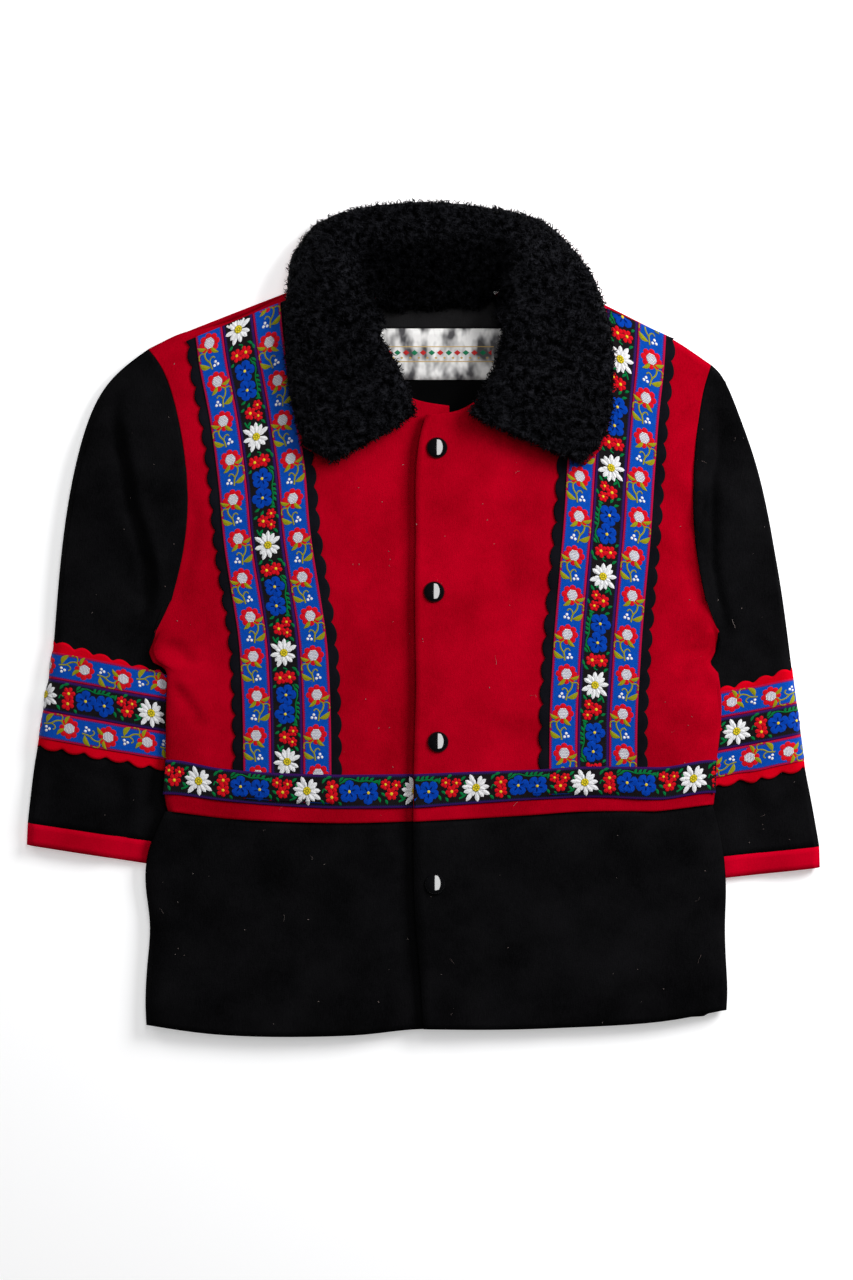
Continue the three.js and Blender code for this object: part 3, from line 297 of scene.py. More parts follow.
BLUE_HALF = 10 * MM
EDEL_HALF = 11 * MM
BLUE_RIBBON = ribbon("blue_ribbon_ground", (0.001, 0.038, 0.25), (0.003, 0.080, 0.50),
                     (0.38, 0.004, 0.040), (0.10, 0.006, 0.11), BLUE_HALF)
DARK_RIBBON = ribbon("dark_ribbon_ground", (0.0040, 0.0034, 0.0042), (0.0150, 0.0125, 0.0140),
                     (0.035, 0.006, 0.085), (0.010, 0.012, 0.060), EDEL_HALF)

# %% Silk of the woven flowers
def build_silk():
    """Shiny thread in the colour that each woven shape carries, with the ribs of the ribbon."""
    material, tree, shader = new_material("flower_silk", Roughness=0.5, Specular_IOR_Level=0.10)
    uv = add_node(tree, "ShaderNodeAttribute", attribute_name="ribbon_place").outputs["Vector"]
    group = add_node(tree, "ShaderNodeGroup", node_tree=WEAVE_GROUP)
    group.inputs["Ribs"].default_value = 1500.0
    tree.links.new(uv, group.inputs["Coordinates"])
    tint = add_node(tree, "ShaderNodeAttribute", attribute_name="tint").outputs["Color"]
    dark = blend_colours(tree, 0.45, tint, rgb(0, 0, 0))
    colour = blend_colours(tree, group.outputs["Shade"], dark, tint)
    tree.links.new(colour, shader.inputs["Base Color"])
    bump(tree, shader, group.outputs["Height"], 0.6, RIB_HEIGHT)
    return material


SILK = build_silk()
print("ribbon materials:", BLUE_RIBBON.name, DARK_RIBBON.name, SILK.name)

# %% [markdown]
# ## From stiff walls to cloth
#
# A CAD wall is a few hundred flat triangles with sharp rims. Cloth has rounded rims and bends without
# corners. Each wall is copied, its doubles are merged and its triangles are joined to quads, because
# Subdivision Surface smooths quads best. Its rims are creased, so that the seams stay where they were
# cut. The smoothed copy then stands for the CAD node, which stays as it is for collision.

# %% Helpers for meshes and objects
# Points this close are one point, and two triangles may be this far out of plane and still make a quad.
SAME_PLACE = 0.01 * MM
BENT_QUAD = math.radians(40)


def clean_mesh(node):
    """A bmesh of a CAD node, its doubles merged and its triangles joined to quads."""
    bm = bmesh.new()
    bm.from_mesh(NODES[node].data)
    bmesh.ops.remove_doubles(bm, verts=bm.verts, dist=SAME_PLACE)
    bmesh.ops.join_triangles(bm, faces=bm.faces, angle_face_threshold=BENT_QUAD,
                             angle_shape_threshold=math.pi)
    return bm


def plain_mesh(name, points, faces):
    """A mesh of some points and of faces that number them."""
    mesh = bpy.data.meshes.new(name)
    mesh.from_pydata(points, [], faces)
    return mesh


def new_object(name, mesh, material):
    """An object at the origin with one material and smooth shading."""
    made = linked(name, mesh)
    made.data.materials.clear()
    made.data.materials.append(material)
    made.data.shade_smooth()
    return made


def applied(made):
    """Turns an object's modifiers into plain mesh, and takes them off."""
    graph = bpy.context.evaluated_depsgraph_get()
    mesh = bpy.data.meshes.new_from_object(made.evaluated_get(graph))
    made.modifiers.clear()
    made.data = mesh
    return made

# %% Helpers for the points of a mesh
def places(mesh):
    """A mesh's points as rows of x, y, z."""
    flat = np.empty(len(mesh.vertices) * 3)
    mesh.vertices.foreach_get("co", flat)
    return flat.reshape(-1, 3)


def move_to(mesh, points):
    """Puts a mesh's points at new places."""
    mesh.vertices.foreach_set("co", np.ascontiguousarray(points, dtype=np.float64).ravel())
    mesh.update()


def ease(low, high, value):
    """0 up to low, 1 from high, and smooth between them."""
    t = np.clip((value - low) / (high - low), 0.0, 1.0)
    return t * t * (3 - 2 * t)

# %% Rounded copy of a wall
# An edge bent more than this is a rim, and a rim that turns more than this has a corner. Rims are then
# pulled out by this much.
RIM_ANGLE = math.radians(50)
CORNER_ANGLE = math.radians(25)
SEAM_PULL = 0.3 * MM


def is_corner(vertex, rims):
    """True where a rim turns so sharply that smoothing would cut the corner off."""
    ways = [(edge.other_vert(vertex).co - vertex.co).normalized() for edge in rims]
    turns = [math.pi - a.angle(b) for i, a in enumerate(ways) for b in ways[i + 1:]]
    return bool(turns) and min(turns) > CORNER_ANGLE


def rounded(node, name, material, levels):
    """A subdivided copy of a CAD wall, creased along its rims."""
    bm = clean_mesh(node)
    crease = bm.edges.layers.float.new("crease_edge")
    corner = bm.verts.layers.float.new("crease_vert")
    rims = {e for e in bm.edges if len(e.link_faces) == 2 and e.calc_face_angle() > RIM_ANGLE}
    for edge in rims:
        edge[crease] = 1.0
    for vertex in bm.verts:
        if is_corner(vertex, [e for e in vertex.link_edges if e in rims]):
            vertex[corner] = 1.0
    mesh = bpy.data.meshes.new(name)
    bm.to_mesh(mesh)
    bm.free()
    made = new_object(name, mesh, material)
    smoothing = made.modifiers.new("round", "SUBSURF")
    smoothing.levels = smoothing.render_levels = levels
    applied(made)
    made.data.shade_smooth()
    return made


def sewn(made):
    """Pulls a panel's rims out by a fraction of a millimetre, so that they meet their neighbours."""
    points = places(made.data)
    normals = np.array([v.normal for v in made.data.vertices])
    points[:, :2] += normals[:, :2] * SEAM_PULL
    move_to(made.data, points)
    return made

# %% [markdown]
# ## Creases
#
# Wool that was worn and then laid flat keeps a few soft creases: beside the armholes, where the sleeves
# fold, and above the waist. Each one is drawn as a line on the cloth with a width and a depth,
# fading towards its ends. A trough has a low ridge on one side, where the cloth that was pushed out of
# it goes. Between the creases the cloth is never quite flat, so a slow noise of half a millimetre lifts
# and lowers it.

# %% Table of creases: points in mm, width, depth, ridge beside it (+ to the left of its direction)
SLEEVE_CREASES = [
    ([(-223, 163), (-226, 142), (-223, 122), (-218, 99), (-215, 78), (-208, 57), (-203, 40), (-202, 23),
      (-204, 9), (-206, -8)], 5.0, 5.2, 2.0),
    ([(-221, 60), (-216, 40), (-212, 22), (-211, 8)], 9.0, 3.0, 0.0),
    ([(-180, 114), (-190, 101), (-201, 87)], 5.0, 1.6, 0.6),
    ([(-245, 20), (-238, -4), (-226, -22)], 8.0, 1.4, 0.5),
    ([(-262, -98), (-240, -110), (-214, -112)], 7.0, 1.2, 0.5),
    ([(-224, -96), (-221, -128), (-220, -152), (-219, -200)], 9.0, 2.6, 2.4),
    ([(194.6, 160), (197, 138), (196, 112), (193, 103), (192.5, 70), (193, 39), (197, 17), (203, -6),
      (206, -25)], 5.0, 4.6, -2.0),
    ([(202, 148), (203, 120), (201, 92)], 7.0, 2.4, 0.0),
    ([(221, 96), (229, 62), (231, 30)], 11.0, 1.3, 0.5),
    ([(214, -6), (226, -20), (240, -30)], 7.0, 1.3, 0.5),
    ([(196, -120), (214, -132), (240, -140)], 8.0, 1.3, 0.5),
    ([(216, -96), (212, -128), (209, -152), (206, -200)], 9.0, 1.8, 1.6),
]
FRONT_CREASES = [
    ([(-186, -43), (-176, -55), (-161, -77)], 3.6, 1.7, 0.9),
    ([(-192, -14), (-181, -20), (-170, -34)], 4.5, 1.5, 0.7),
    ([(-172, 96), (-171, 60), (-178, 22), (-188, -2)], 6.0, 1.2, 0.5),
    ([(176, 92), (173, 55), (181, 18), (191, -4)], 6.0, 1.5, 0.6),
    ([(193, -36), (196, -56), (194, -74), (183, -88)], 6.0, 1.7, 0.7),
    ([(189, -18), (178, -24), (168, -40)], 5.0, 1.3, 0.7),
    ([(-50, 96), (-42, 60), (-46, 20), (-40, -30)], 16.0, 0.9, 0.3),
    ([(44, 98), (52, 62), (48, 14), (56, -28)], 17.0, 0.9, 0.3),
    ([(-30, -60), (-50, -78), (-74, -88)], 10.0, 0.8, 0.4),
    ([(30, -72), (58, -84), (84, -88)], 10.0, 0.8, 0.4),
]
SKIRT_CREASES = [
    ([(121, -218), (145, -209), (164, -200), (182, -188)], 5.0, 1.5, 0.7),
    ([(-184, -186), (-166, -214), (-150, -246)], 16.0, 1.3, 0.4),
    ([(-112, -160), (-104, -200), (-110, -252)], 14.0, 1.0, 0.4),
    ([(62, -158), (70, -204), (60, -258)], 15.0, 1.0, 0.4),
    ([(170, -158), (182, -176), (190, -206)], 8.0, 1.1, 0.5),
]
BACK_CREASES = [
    ([(-176, -10), (-140, 10), (-96, 22)], 7.0, 1.0, 0.5),
    ([(182, -14), (146, 14), (100, 30)], 8.0, 1.0, 0.5),
    ([(-80, 190), (-40, 182), (30, 186)], 10.0, 0.8, 0.4),
    ([(-120, -80), (-60, -92), (10, -84)], 12.0, 0.9, 0.4),
    ([(90, -220), (130, -208), (170, -190)], 9.0, 0.9, 0.4),
    ([(-160, -210), (-120, -226), (-70, -224)], 10.0, 0.9, 0.4),
]

# %% Where a point is beside a crease
def nearest_on_line(points, line):
    """For each point: the distance to a line, which side it is on, and how far along, from 0 to 1."""
    line = np.array(line, float) * MM
    starts, steps = line[:-1], np.diff(line, axis=0)
    lengths = np.linalg.norm(steps, axis=1)
    offset = points[:, None, :2] - starts[None]
    t = np.clip((offset * steps).sum(axis=2) / lengths ** 2, 0, 1)
    away = offset - t[..., None] * steps
    far = np.linalg.norm(away, axis=2)
    nearest = far.argmin(axis=1)
    row = np.arange(len(points))
    cross = steps[nearest, 0] * away[row, nearest, 1] - steps[nearest, 1] * away[row, nearest, 0]
    done = np.r_[0, np.cumsum(lengths)][nearest] + t[row, nearest] * lengths[nearest]
    return far[row, nearest], np.sign(cross), done / lengths.sum()

# %% How high the cloth lies over its CAD wall
# A crease fades out over this share of its length at each end. Its ridge lies so many widths beside
# it, and is so many widths wide.
FADE = 0.22
RIDGE_AWAY, RIDGE_WIDE = 1.7, 1.1


def crease_height(points, creases):
    """The height that a table of creases gives to points, in metres."""
    height = np.zeros(len(points))
    for line, width, depth, ridge in creases:
        distance, side, along = nearest_on_line(points, line)
        fade = ease(0.0, FADE, along) * ease(0.0, FADE, 1 - along)
        trough = np.exp(-((distance / (width * MM)) ** 2))
        signed = distance * side * np.sign(ridge if ridge else 1) - RIDGE_AWAY * width * MM
        raised = np.exp(-((signed / (RIDGE_WIDE * width * MM)) ** 2))
        height += fade * MM * (abs(ridge) * raised - depth * trough)
    return height


# How much finer and weaker the second noise is.
FINER, WEAKER = 2.7, 0.4


def waviness(points, size, amount, seed):
    """Slow noise over the plan, with a finer and weaker one on it."""
    return np.array([
        amount * (noise.noise((x / size, y / size, seed))
                  + WEAKER * noise.noise((FINER * x / size, FINER * y / size, seed + 5)))
        for x, y, _ in points
    ])


def crumpled(made, creases, seed, amount, share, size=70 * MM):
    """Moves a piece's points up and down by creases and slow noise. share says how much each may move."""
    points = places(made.data)
    points[:, 2] += share(points) * (crease_height(points, creases) + waviness(points, size, amount, seed))
    move_to(made.data, points)
    return made

# %% [markdown]
# ## The panels
#
# The two fronts, the back and the skirt are flat walls, so every point of a wall moves with its creases.
# Near the snaps the two fronts are pressed together, and there the noise is held back. The back lies on
# the floor: only what isn't touching the floor may move.

# %% How much each part of a panel may move
SNAP_PLACES = [sum(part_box(f"snap_cap_{i}"), Vector()) / 2 for i in (1, 2, 3, 4)]
print("snaps:", [tuple(round(c / MM, 1) for c in place) for place in SNAP_PLACES])


def away_from_snaps(points):
    """0 at the snaps and along the middle of the front, and 1 from 24 mm and 40 mm away from them."""
    share = np.ones(len(points))
    for place in SNAP_PLACES:
        share *= ease(8 * MM, 24 * MM, np.hypot(points[:, 0] - place.x, points[:, 1] - place.y))
    return share * ease(12 * MM, 40 * MM, abs(points[:, 0]))


def off_the_floor(points):
    """0 for points that touch the floor, and 1 from 6 mm up."""
    return ease(1.0 * MM, 6.0 * MM, points[:, 2])

# %% Bulges over the sleeves, and the free edge of the left front
# Places where the body bulges over the sleeve: middle, reach and shift, in mm.
BULGES = [((-197, -26), 15, (-3.0, -0.6)), ((199, -30), 15, (0.8, -0.2))]


def bulged(made):
    """Moves a panel's side outward below the armholes, where it lies over the sleeve."""
    points = places(made.data)
    for middle, reach, shift in BULGES:
        near = np.linalg.norm(points[:, :2] - np.array(middle) * MM, axis=1) / (reach * MM)
        points[:, :2] += np.exp(-near ** 2)[:, None] * np.array(shift) * MM
    move_to(made.data, points)
    return made


# How far the left front's free edge stands off the right front, and how much more at the neck, in mm.
EDGE_LIFT, NECK_LIFT = 1.3, 1.6


def free_edge_lifted(made):
    """Lifts the free edge of the left front off the right one, and more towards the neck."""
    points = places(made.data)
    lift = EDGE_LIFT + NECK_LIFT * ease(90 * MM, 132 * MM, points[:, 1])
    points[:, 2] += ease(4 * MM, 17 * MM, -points[:, 0]) * lift * MM
    move_to(made.data, points)
    return made

# %% Fronts, back and skirt
PANELS = {}
for node, material, creases, seed, levels in [
    ("front_upper_r", RED_WOOL, FRONT_CREASES, 3.0, 3),
    ("front_upper_l", RED_WOOL, FRONT_CREASES, 3.0, 3),
    ("front_lower_r", BLACK_WOOL, SKIRT_CREASES, 7.0, 2),
    ("front_lower_l", BLACK_WOOL, SKIRT_CREASES, 7.0, 2),
]:
    made = crumpled(sewn(rounded(node, node + "_cloth", material, levels)), creases, seed, amount=1.1 * MM,
                    share=away_from_snaps)
    PANELS[node] = bulged(free_edge_lifted(made) if node.endswith("l") else made)
for node, material, creases in [
    ("back_upper", RED_WOOL, BACK_CREASES), ("back_lower", BLACK_WOOL, BACK_CREASES),
]:
    made = crumpled(sewn(rounded(node, node + "_cloth", material, 2)), creases, 11.0, amount=0,
                    share=off_the_floor)
    PANELS[node] = bulged(made)
for name, made in PANELS.items():
    print(name, len(made.data.polygons), "faces")

# %% [markdown]
# ## The sleeves
#
# A sleeve is a flattened tube. Only its upper layer is creased: the lower one lies on the floor, and the
# part that is tucked under the body is pressed flat.

# %% Sleeves and cuffs
def upper_layer(points):
    """0 in a sleeve's lower layer, and 1 in its upper one."""
    return ease(4.5 * MM, 8.5 * MM, points[:, 2])


for node, material, levels in [
    ("sleeve_r", BLACK_WOOL, 3), ("sleeve_l", BLACK_WOOL, 3),
    ("cuff_r", CUFF_WOOL, 2), ("cuff_l", CUFF_WOOL, 2),
]:
    PANELS[node] = crumpled(sewn(rounded(node, node + "_cloth", material, levels)), SLEEVE_CREASES, 17.0,
                            amount=0.5 * MM, size=55 * MM, share=upper_layer)
    print(node, len(PANELS[node].data.polygons), "faces")

# %% [markdown]
# ## Laying strips on the cloth
#
# The felt strips and the ribbons follow whatever lies under them. Each one is a grid of points: rows
# along it and columns across it. On the fronts a grid is dropped on the cloth from above, as a ribbon
# would be laid there, and it bridges small steps. The edges of each strip come from its CAD solid.

# %% Edges of a strip, read from its CAD solid
def strip_edges(node, axis, side=1):
    """Both edges of a strip's outer face, as rows of (low side, high side), along X (0) or Y (1)."""
    bm = clean_mesh(node)
    row = sorted(bm.verts, key=lambda v: v.co[axis])[:4]
    seen, edges = set(row), []
    while row:
        corners = sorted((v.co.copy() for v in row), key=lambda p: p[1 - axis])
        edges.append([max(pair, key=lambda p: side * p.z) for pair in (corners[:2], corners[-2:])])
        row = [w for w in {e.other_vert(v) for v in row for e in v.link_edges} if w not in seen]
        seen.update(row)
    bm.free()
    return np.array(edges)


def smooth_line(points, count):
    """Evenly spaced points on a smooth line through the given ones."""
    points = np.asarray(points, float)
    lengths = np.r_[0, np.cumsum(np.linalg.norm(np.diff(points, axis=0), axis=1))]
    slopes = np.gradient(points, lengths, axis=0)
    at = np.linspace(0, lengths[-1], count)
    k = np.clip(np.searchsorted(lengths, at, "right") - 1, 0, len(lengths) - 2)
    step = (lengths[k + 1] - lengths[k])[:, None]
    t = (at - lengths[k])[:, None] / step
    return ((2 * t ** 3 - 3 * t ** 2 + 1) * points[k] + (t ** 3 - 2 * t ** 2 + t) * step * slopes[k]
            + (3 * t ** 2 - 2 * t ** 3) * points[k + 1] + (t ** 3 - t ** 2) * step * slopes[k + 1])

# %% Dropping a grid on the cloth
# Rays start well clear of the jacket, this far above the floor or below it.
RAY_START = 0.1


def surface(*objects):
    """One tree of all the faces of some objects, to be hit by rays."""
    points, faces = [], []
    for made in objects:
        first = sum(len(p) for p in points)
        points.append(places(made.data))
        faces += [[first + i for i in face.vertices] for face in made.data.polygons]
    return BVHTree.FromPolygons([Vector(p) for p in np.concatenate(points)], faces)


def eased(heights, reach):
    """Heights along a strip that bridges the steps under it: the highest near by, then averaged."""
    rows = len(heights)
    windows = [np.clip(np.arange(rows) + k, 0, rows - 1) for k in range(-reach, reach + 1)]
    top = np.stack([heights[w] for w in windows]).max(axis=0)
    return np.stack([top[w] for w in windows]).mean(axis=0)


def dropped(grid, under, lift, side=1, reach=2):
    """A grid laid on a surface from above (side 1) or from below (side -1)."""
    laid = grid.copy()
    for index in np.ndindex(grid.shape[:2]):
        x, y, z = grid[index]
        hit = under.ray_cast(Vector((x, y, side * RAY_START)), Vector((0, 0, -side)))[0]
        laid[index][2] = hit.z if hit else z - side * lift
    laid[..., 2] = side * eased(side * laid[..., 2], reach) + side * lift
    return laid

# %% Measures of a grid, and the UV map that they give
def distances(grid):
    """The distance of each row along the middle of a grid, from its first row."""
    middle = grid[:, grid.shape[1] // 2]
    return np.r_[0, np.cumsum(np.linalg.norm(np.diff(middle, axis=0), axis=1))]


def outward(grid):
    """The unit normals of a grid whose rows run along it and whose columns run to its left."""
    along, across = np.gradient(grid, axis=0), np.gradient(grid, axis=1)
    normals = np.cross(along, across)
    return normals / np.maximum(np.linalg.norm(normals, axis=2, keepdims=True), 1e-12)


def with_uv(mesh, places_on_strip):
    """Gives a mesh a UV map from one pair of numbers for each point."""
    layer = mesh.uv_layers.new(name="UVMap")
    corners = np.empty(len(mesh.loops), dtype=np.int32)
    mesh.loops.foreach_get("vertex_index", corners)
    layer.data.foreach_set("uv", np.asarray(places_on_strip, float)[corners].ravel())


def grid_places(grid, left):
    """How far along a strip each point of its grid is, and how far to the left of its middle."""
    rows, columns = grid.shape[:2]
    along = np.repeat(distances(grid), columns)
    return np.stack([along, np.broadcast_to(left, (rows, columns)).ravel()], axis=1)

# %% A strip with its thickness, and the bare outer face of one
def strip_mesh(name, grid, left, thickness):
    """A closed strip under a grid. left says how far each column is to the left of the middle."""
    rows, columns = grid.shape[:2]
    count = rows * columns
    at = np.arange(2 * count).reshape(2, rows, columns)
    top, low = at
    faces = []
    for r in range(rows - 1):
        for c in range(columns - 1):
            faces.append((top[r, c], top[r + 1, c], top[r + 1, c + 1], top[r, c + 1]))
            faces.append((low[r, c], low[r, c + 1], low[r + 1, c + 1], low[r + 1, c]))
        faces.append((top[r, 0], low[r, 0], low[r + 1, 0], top[r + 1, 0]))
        faces.append((top[r, -1], top[r + 1, -1], low[r + 1, -1], low[r, -1]))
    for c in range(columns - 1):
        faces.append((top[0, c], top[0, c + 1], low[0, c + 1], low[0, c]))
        faces.append((top[-1, c], low[-1, c], low[-1, c + 1], top[-1, c + 1]))
    under = grid - outward(grid) * thickness
    points = np.concatenate([grid.reshape(-1, 3), under.reshape(-1, 3)])
    mesh = plain_mesh(name, points.tolist(), [tuple(int(i) for i in face) for face in faces])
    with_uv(mesh, np.tile(grid_places(grid, left), (2, 1)))
    mesh.validate()
    return mesh


def sheet_mesh(name, grid, left):
    """The bare outer face of a strip, for the flowers to be woven on."""
    rows, columns = grid.shape[:2]
    at = np.arange(rows * columns).reshape(rows, columns)
    faces = [
        (int(at[r, c]), int(at[r + 1, c]), int(at[r + 1, c + 1]), int(at[r, c + 1]))
        for r in range(rows - 1) for c in range(columns - 1)
    ]
    mesh = plain_mesh(name, grid.reshape(-1, 3).tolist(), faces)
    with_uv(mesh, grid_places(grid, left))
    return mesh

# %% [markdown]
# ## Felt strips on the fronts
#
# Under the three ribbons of each front lies one strip of black felt, cut with pinking shears into round
# scallops that show on both sides. Its points run across at fixed fractions, and the outermost ones
# follow the scallops.

# %% Scallops
# Thickness of the felt and of a ribbon, and then the scallops.
FELT = 1.2 * MM
RIBBON = 0.5 * MM
FELT_REACH = 7.6 * MM
SCALLOP_DEPTH = 3.0 * MM
SCALLOP_PITCH = 15.2 * MM
ROW_STEP = 1.25 * MM
# Places of the columns in a scallop, as shares of its reach.
SCALLOP_COLUMNS = (1.0, 0.9, 0.45)


def scallop(distance, pitch=SCALLOP_PITCH, depth=SCALLOP_DEPTH):
    """How far the edge of a strip draws back from the tips of its scallops."""
    lobe = np.abs(np.sin(np.pi * distance / pitch))
    return depth * (1 - lobe ** 0.7)


def scalloped_grid(right, left):
    """A grid between two lines, its sides reaching out in scallops."""
    run = np.r_[0, np.cumsum(np.linalg.norm(np.diff((right + left) / 2, axis=0), axis=1))]
    across = (left - right) / np.linalg.norm(left - right, axis=1, keepdims=True)
    reach = (FELT_REACH - scallop(run))[:, None]
    lines = [right - across * reach * f for f in SCALLOP_COLUMNS]
    lines += [right + (left - right) * f for f in np.linspace(0, 1, 9)]
    lines += [left + across * reach * f for f in reversed(SCALLOP_COLUMNS)]
    return np.stack(lines, axis=1)

# %% Strips that reach up to the shoulder
# The line along each shoulder seam where the strips end, and the share of a strip, from its lower end,
# that keeps its place when its upper end is lengthened to that line.
SHOULDER_ENDS = {
    "r": np.array([(-167.6, 198.2), (-107.3, 223.0)]) * MM,
    "l": np.array([(120.2, 217.8), (159.9, 199.9)]) * MM,
}
KEPT_SHARE = 0.82


def to_shoulder(edges, side):
    """Lengthens a strip's upper end up to a straight line along the shoulder seam."""
    start, end = SHOULDER_ENDS[side]
    normal = np.array([start[1] - end[1], end[0] - start[0]])
    done = np.linspace(0, 1, len(edges))
    for column in (0, 1):
        line = edges[:, column, :2]
        ahead = (line[-1] - line[-3]) / np.linalg.norm(line[-1] - line[-3])
        missing = normal @ (start - line[-1]) / (normal @ ahead)
        line += ahead * (missing * ease(KEPT_SHARE, 1.0, done))[:, None]
    return edges

# %% Scalloped felt of the fronts
# How far the tips of the scallops sink, and the half width that the felt's UV map gives it.
FELT_DROOP = 0.35 * MM
FELT_UV = 40 * MM
FELTS = {}
for side in "rl":
    outer, inner = (
        to_shoulder(strip_edges(f"front_blue_{name}_{side}", 1), side) for name in ("outer", "inner")
    )
    west, east = (outer, inner) if side == "r" else (inner, outer)
    length = np.linalg.norm(np.diff(outer.mean(axis=1), axis=0), axis=1).sum()
    count = int(length / ROW_STEP)
    grid = scalloped_grid(smooth_line(east[:, 1], count), smooth_line(west[:, 0], count))
    grid = dropped(grid, surface(PANELS[f"front_upper_{side}"]), FELT, reach=3)
    grid[:, (0, -1), 2] -= FELT_DROOP
    name = f"front_felt_{side}"
    left = np.linspace(-FELT_UV, FELT_UV, grid.shape[1])
    FELTS[name] = new_object(name + "_cloth", strip_mesh(name, grid, left, FELT * 0.9), BLACK_FELT)
    print(name, grid.shape[:2], "points, length", round(length / MM), "mm")

# %% [markdown]
# ## Ribbons
#
# A ribbon is a thin strip that keeps its width. Its rows run in the direction that its flowers look, and
# its columns run from its right edge to its left one. The record of each ribbon keeps its grid, because
# the flowers are woven on that same grid later. A ribbon that is turned round gets its rows and columns
# turned round here, so the weaving needs no special cases.

# %% Ribbons on the fronts
# Places of a ribbon's columns as shares of its half width, how far its edges sink, and its rows' step.
ACROSS = np.array([-1, -0.95, -0.8, -0.55, -0.28, 0, 0.28, 0.55, 0.8, 0.95, 1])
EDGE_SUNK = 0.12 * MM
RIBBON_STEP = 2 * MM
RIBBONS = {}


def ribbon_grid(right, left):
    """A grid between the two edges of a ribbon, its columns closer at the edges."""
    length = np.linalg.norm(np.diff((right + left) / 2, axis=0), axis=1).sum()
    count = int(length / RIBBON_STEP)
    right, left = smooth_line(right, count), smooth_line(left, count)
    return np.stack([right + (left - right) * (a + 1) / 2 for a in ACROSS], axis=1)


def add_ribbon(node, grid, kind):
    """Makes a ribbon's piece from its grid, and keeps the grid for its flowers."""
    half, material = {"blue": (BLUE_HALF, BLUE_RIBBON), "edel": (EDEL_HALF, DARK_RIBBON)}[kind]
    left = ACROSS * half
    worn = grid - outward(grid) * (EDGE_SUNK * (abs(ACROSS) == 1))[None, :, None]
    made = new_object(node + "_cloth", strip_mesh(node, worn, left, RIBBON), material)
    RIBBONS[node] = {"piece": made, "grid": grid, "left": left, "kind": kind}


for side in "rl":
    under = surface(PANELS[f"front_upper_{side}"], FELTS[f"front_felt_{side}"])
    for part, kind in (("blue_outer", "blue"), ("edel", "edel"), ("blue_inner", "blue")):
        node = f"front_{part}_{side}"
        edges = to_shoulder(strip_edges(node, 1), side)
        down = kind == "edel" and side == "r"
        right, left = (edges[::-1, 0], edges[::-1, 1]) if down else (edges[:, 1], edges[:, 0])
        grid = dropped(ribbon_grid(right, left), under, RIBBON + 0.08 * MM)
        add_ribbon(node, grid, kind)
        print(node, "length", round(distances(grid)[-1] / MM), "mm")

# %% [markdown]
# The ribbon round the waist crosses the ends of the felt strips and of their ribbons, so it is dropped
# on all of them at once. At the back it is laid from below, in a shallow bed in the cloth, because the
# jacket lies on it.

# %% Ribbon round the waist
# How far its upper edge in front reaches past its solid, and how deep its bed at the back is.
WAIST_WIDER = 1.2 * MM
BED_DEPTH = 0.05 * MM
for side in "rl":
    node = f"waist_ribbon_{side}"
    edges = strip_edges(node, 0)
    edges[:, 1, 1] += WAIST_WIDER
    on_strips = [RIBBONS[name]["piece"] for name in RIBBONS if name.endswith("_" + side)]
    under = surface(PANELS[f"front_upper_{side}"], FELTS[f"front_felt_{side}"], *on_strips)
    grid = dropped(ribbon_grid(edges[:, 0], edges[:, 1]), under, RIBBON + 0.3 * MM, reach=3)
    add_ribbon(node, grid, "edel")
edges = strip_edges("waist_ribbon_back", 0, side=-1)
grid = ribbon_grid(edges[::-1, 0], edges[::-1, 1])
grid = dropped(grid, surface(PANELS["back_upper"]), RIBBON + BED_DEPTH, side=-1)
grid[..., 2] = np.maximum(grid[..., 2], BED_DEPTH)
add_ribbon("waist_ribbon_back", grid, "edel")
print("waist:", [round(distances(RIBBONS[n]["grid"])[-1] / MM) for n in RIBBONS if "waist" in n], "mm")

# %% [markdown]
# ## Bands round the sleeves
#
# A band goes all the way round a flattened tube, so it can't be dropped from above. A flat ring of
# points is put round the sleeve instead, and each point is pulled to the nearest place on the cloth and
# lifted off it by the thickness of the band. The ring's ends meet under the sleeve.

# %% A grid round a sleeve
def band_corners(node, side):
    """Where a band's edges meet the sleeve's folds: outer (upper, lower), then inner (upper, lower)."""
    points = places(NODES[node].data)
    out = -1 if side == "r" else 1
    return np.array([
        points[(x * points[:, 0] + 0.5 * y * points[:, 1]).argmax()] for x in (out, -out) for y in (1, -1)
    ])


# The ring that is pulled to the sleeve: its middle's height and its reach up and down, in mm, and how
# much wider than the sleeve it is.
RING_MIDDLE, RING_REACH, RING_WIDER = 6, 11, 1.05


def on_sleeve(corners, fraction, turn, cloth, lift):
    """A point round a sleeve, at a fraction of the band's width from its upper edge."""
    outer = corners[0] + (corners[1] - corners[0]) * fraction
    inner = corners[2] + (corners[3] - corners[2]) * fraction
    guess = (outer + inner) / 2 + (inner - outer) / 2 * RING_WIDER * math.cos(turn)
    guess[2] = (RING_MIDDLE + RING_REACH * math.sin(turn)) * MM
    place, normal, _, _ = cloth.find_nearest(Vector(guess))
    away = 1 if normal.dot(Vector(guess) - place) > 0 else -1
    return place + normal * away * lift


def turns_round(corners, cloth, count):
    """Angles that space points evenly once round a sleeve from its seam below, and the way round."""
    rough = np.linspace(-0.35 * math.pi, 1.65 * math.pi, 721)
    line = np.array([on_sleeve(corners, 0.5, turn, cloth, 0.0) for turn in rough])
    run = np.r_[0, np.cumsum(np.linalg.norm(np.diff(line, axis=0), axis=1))]
    return np.interp(np.linspace(0, run[-1], count), run, rough), run[-1]


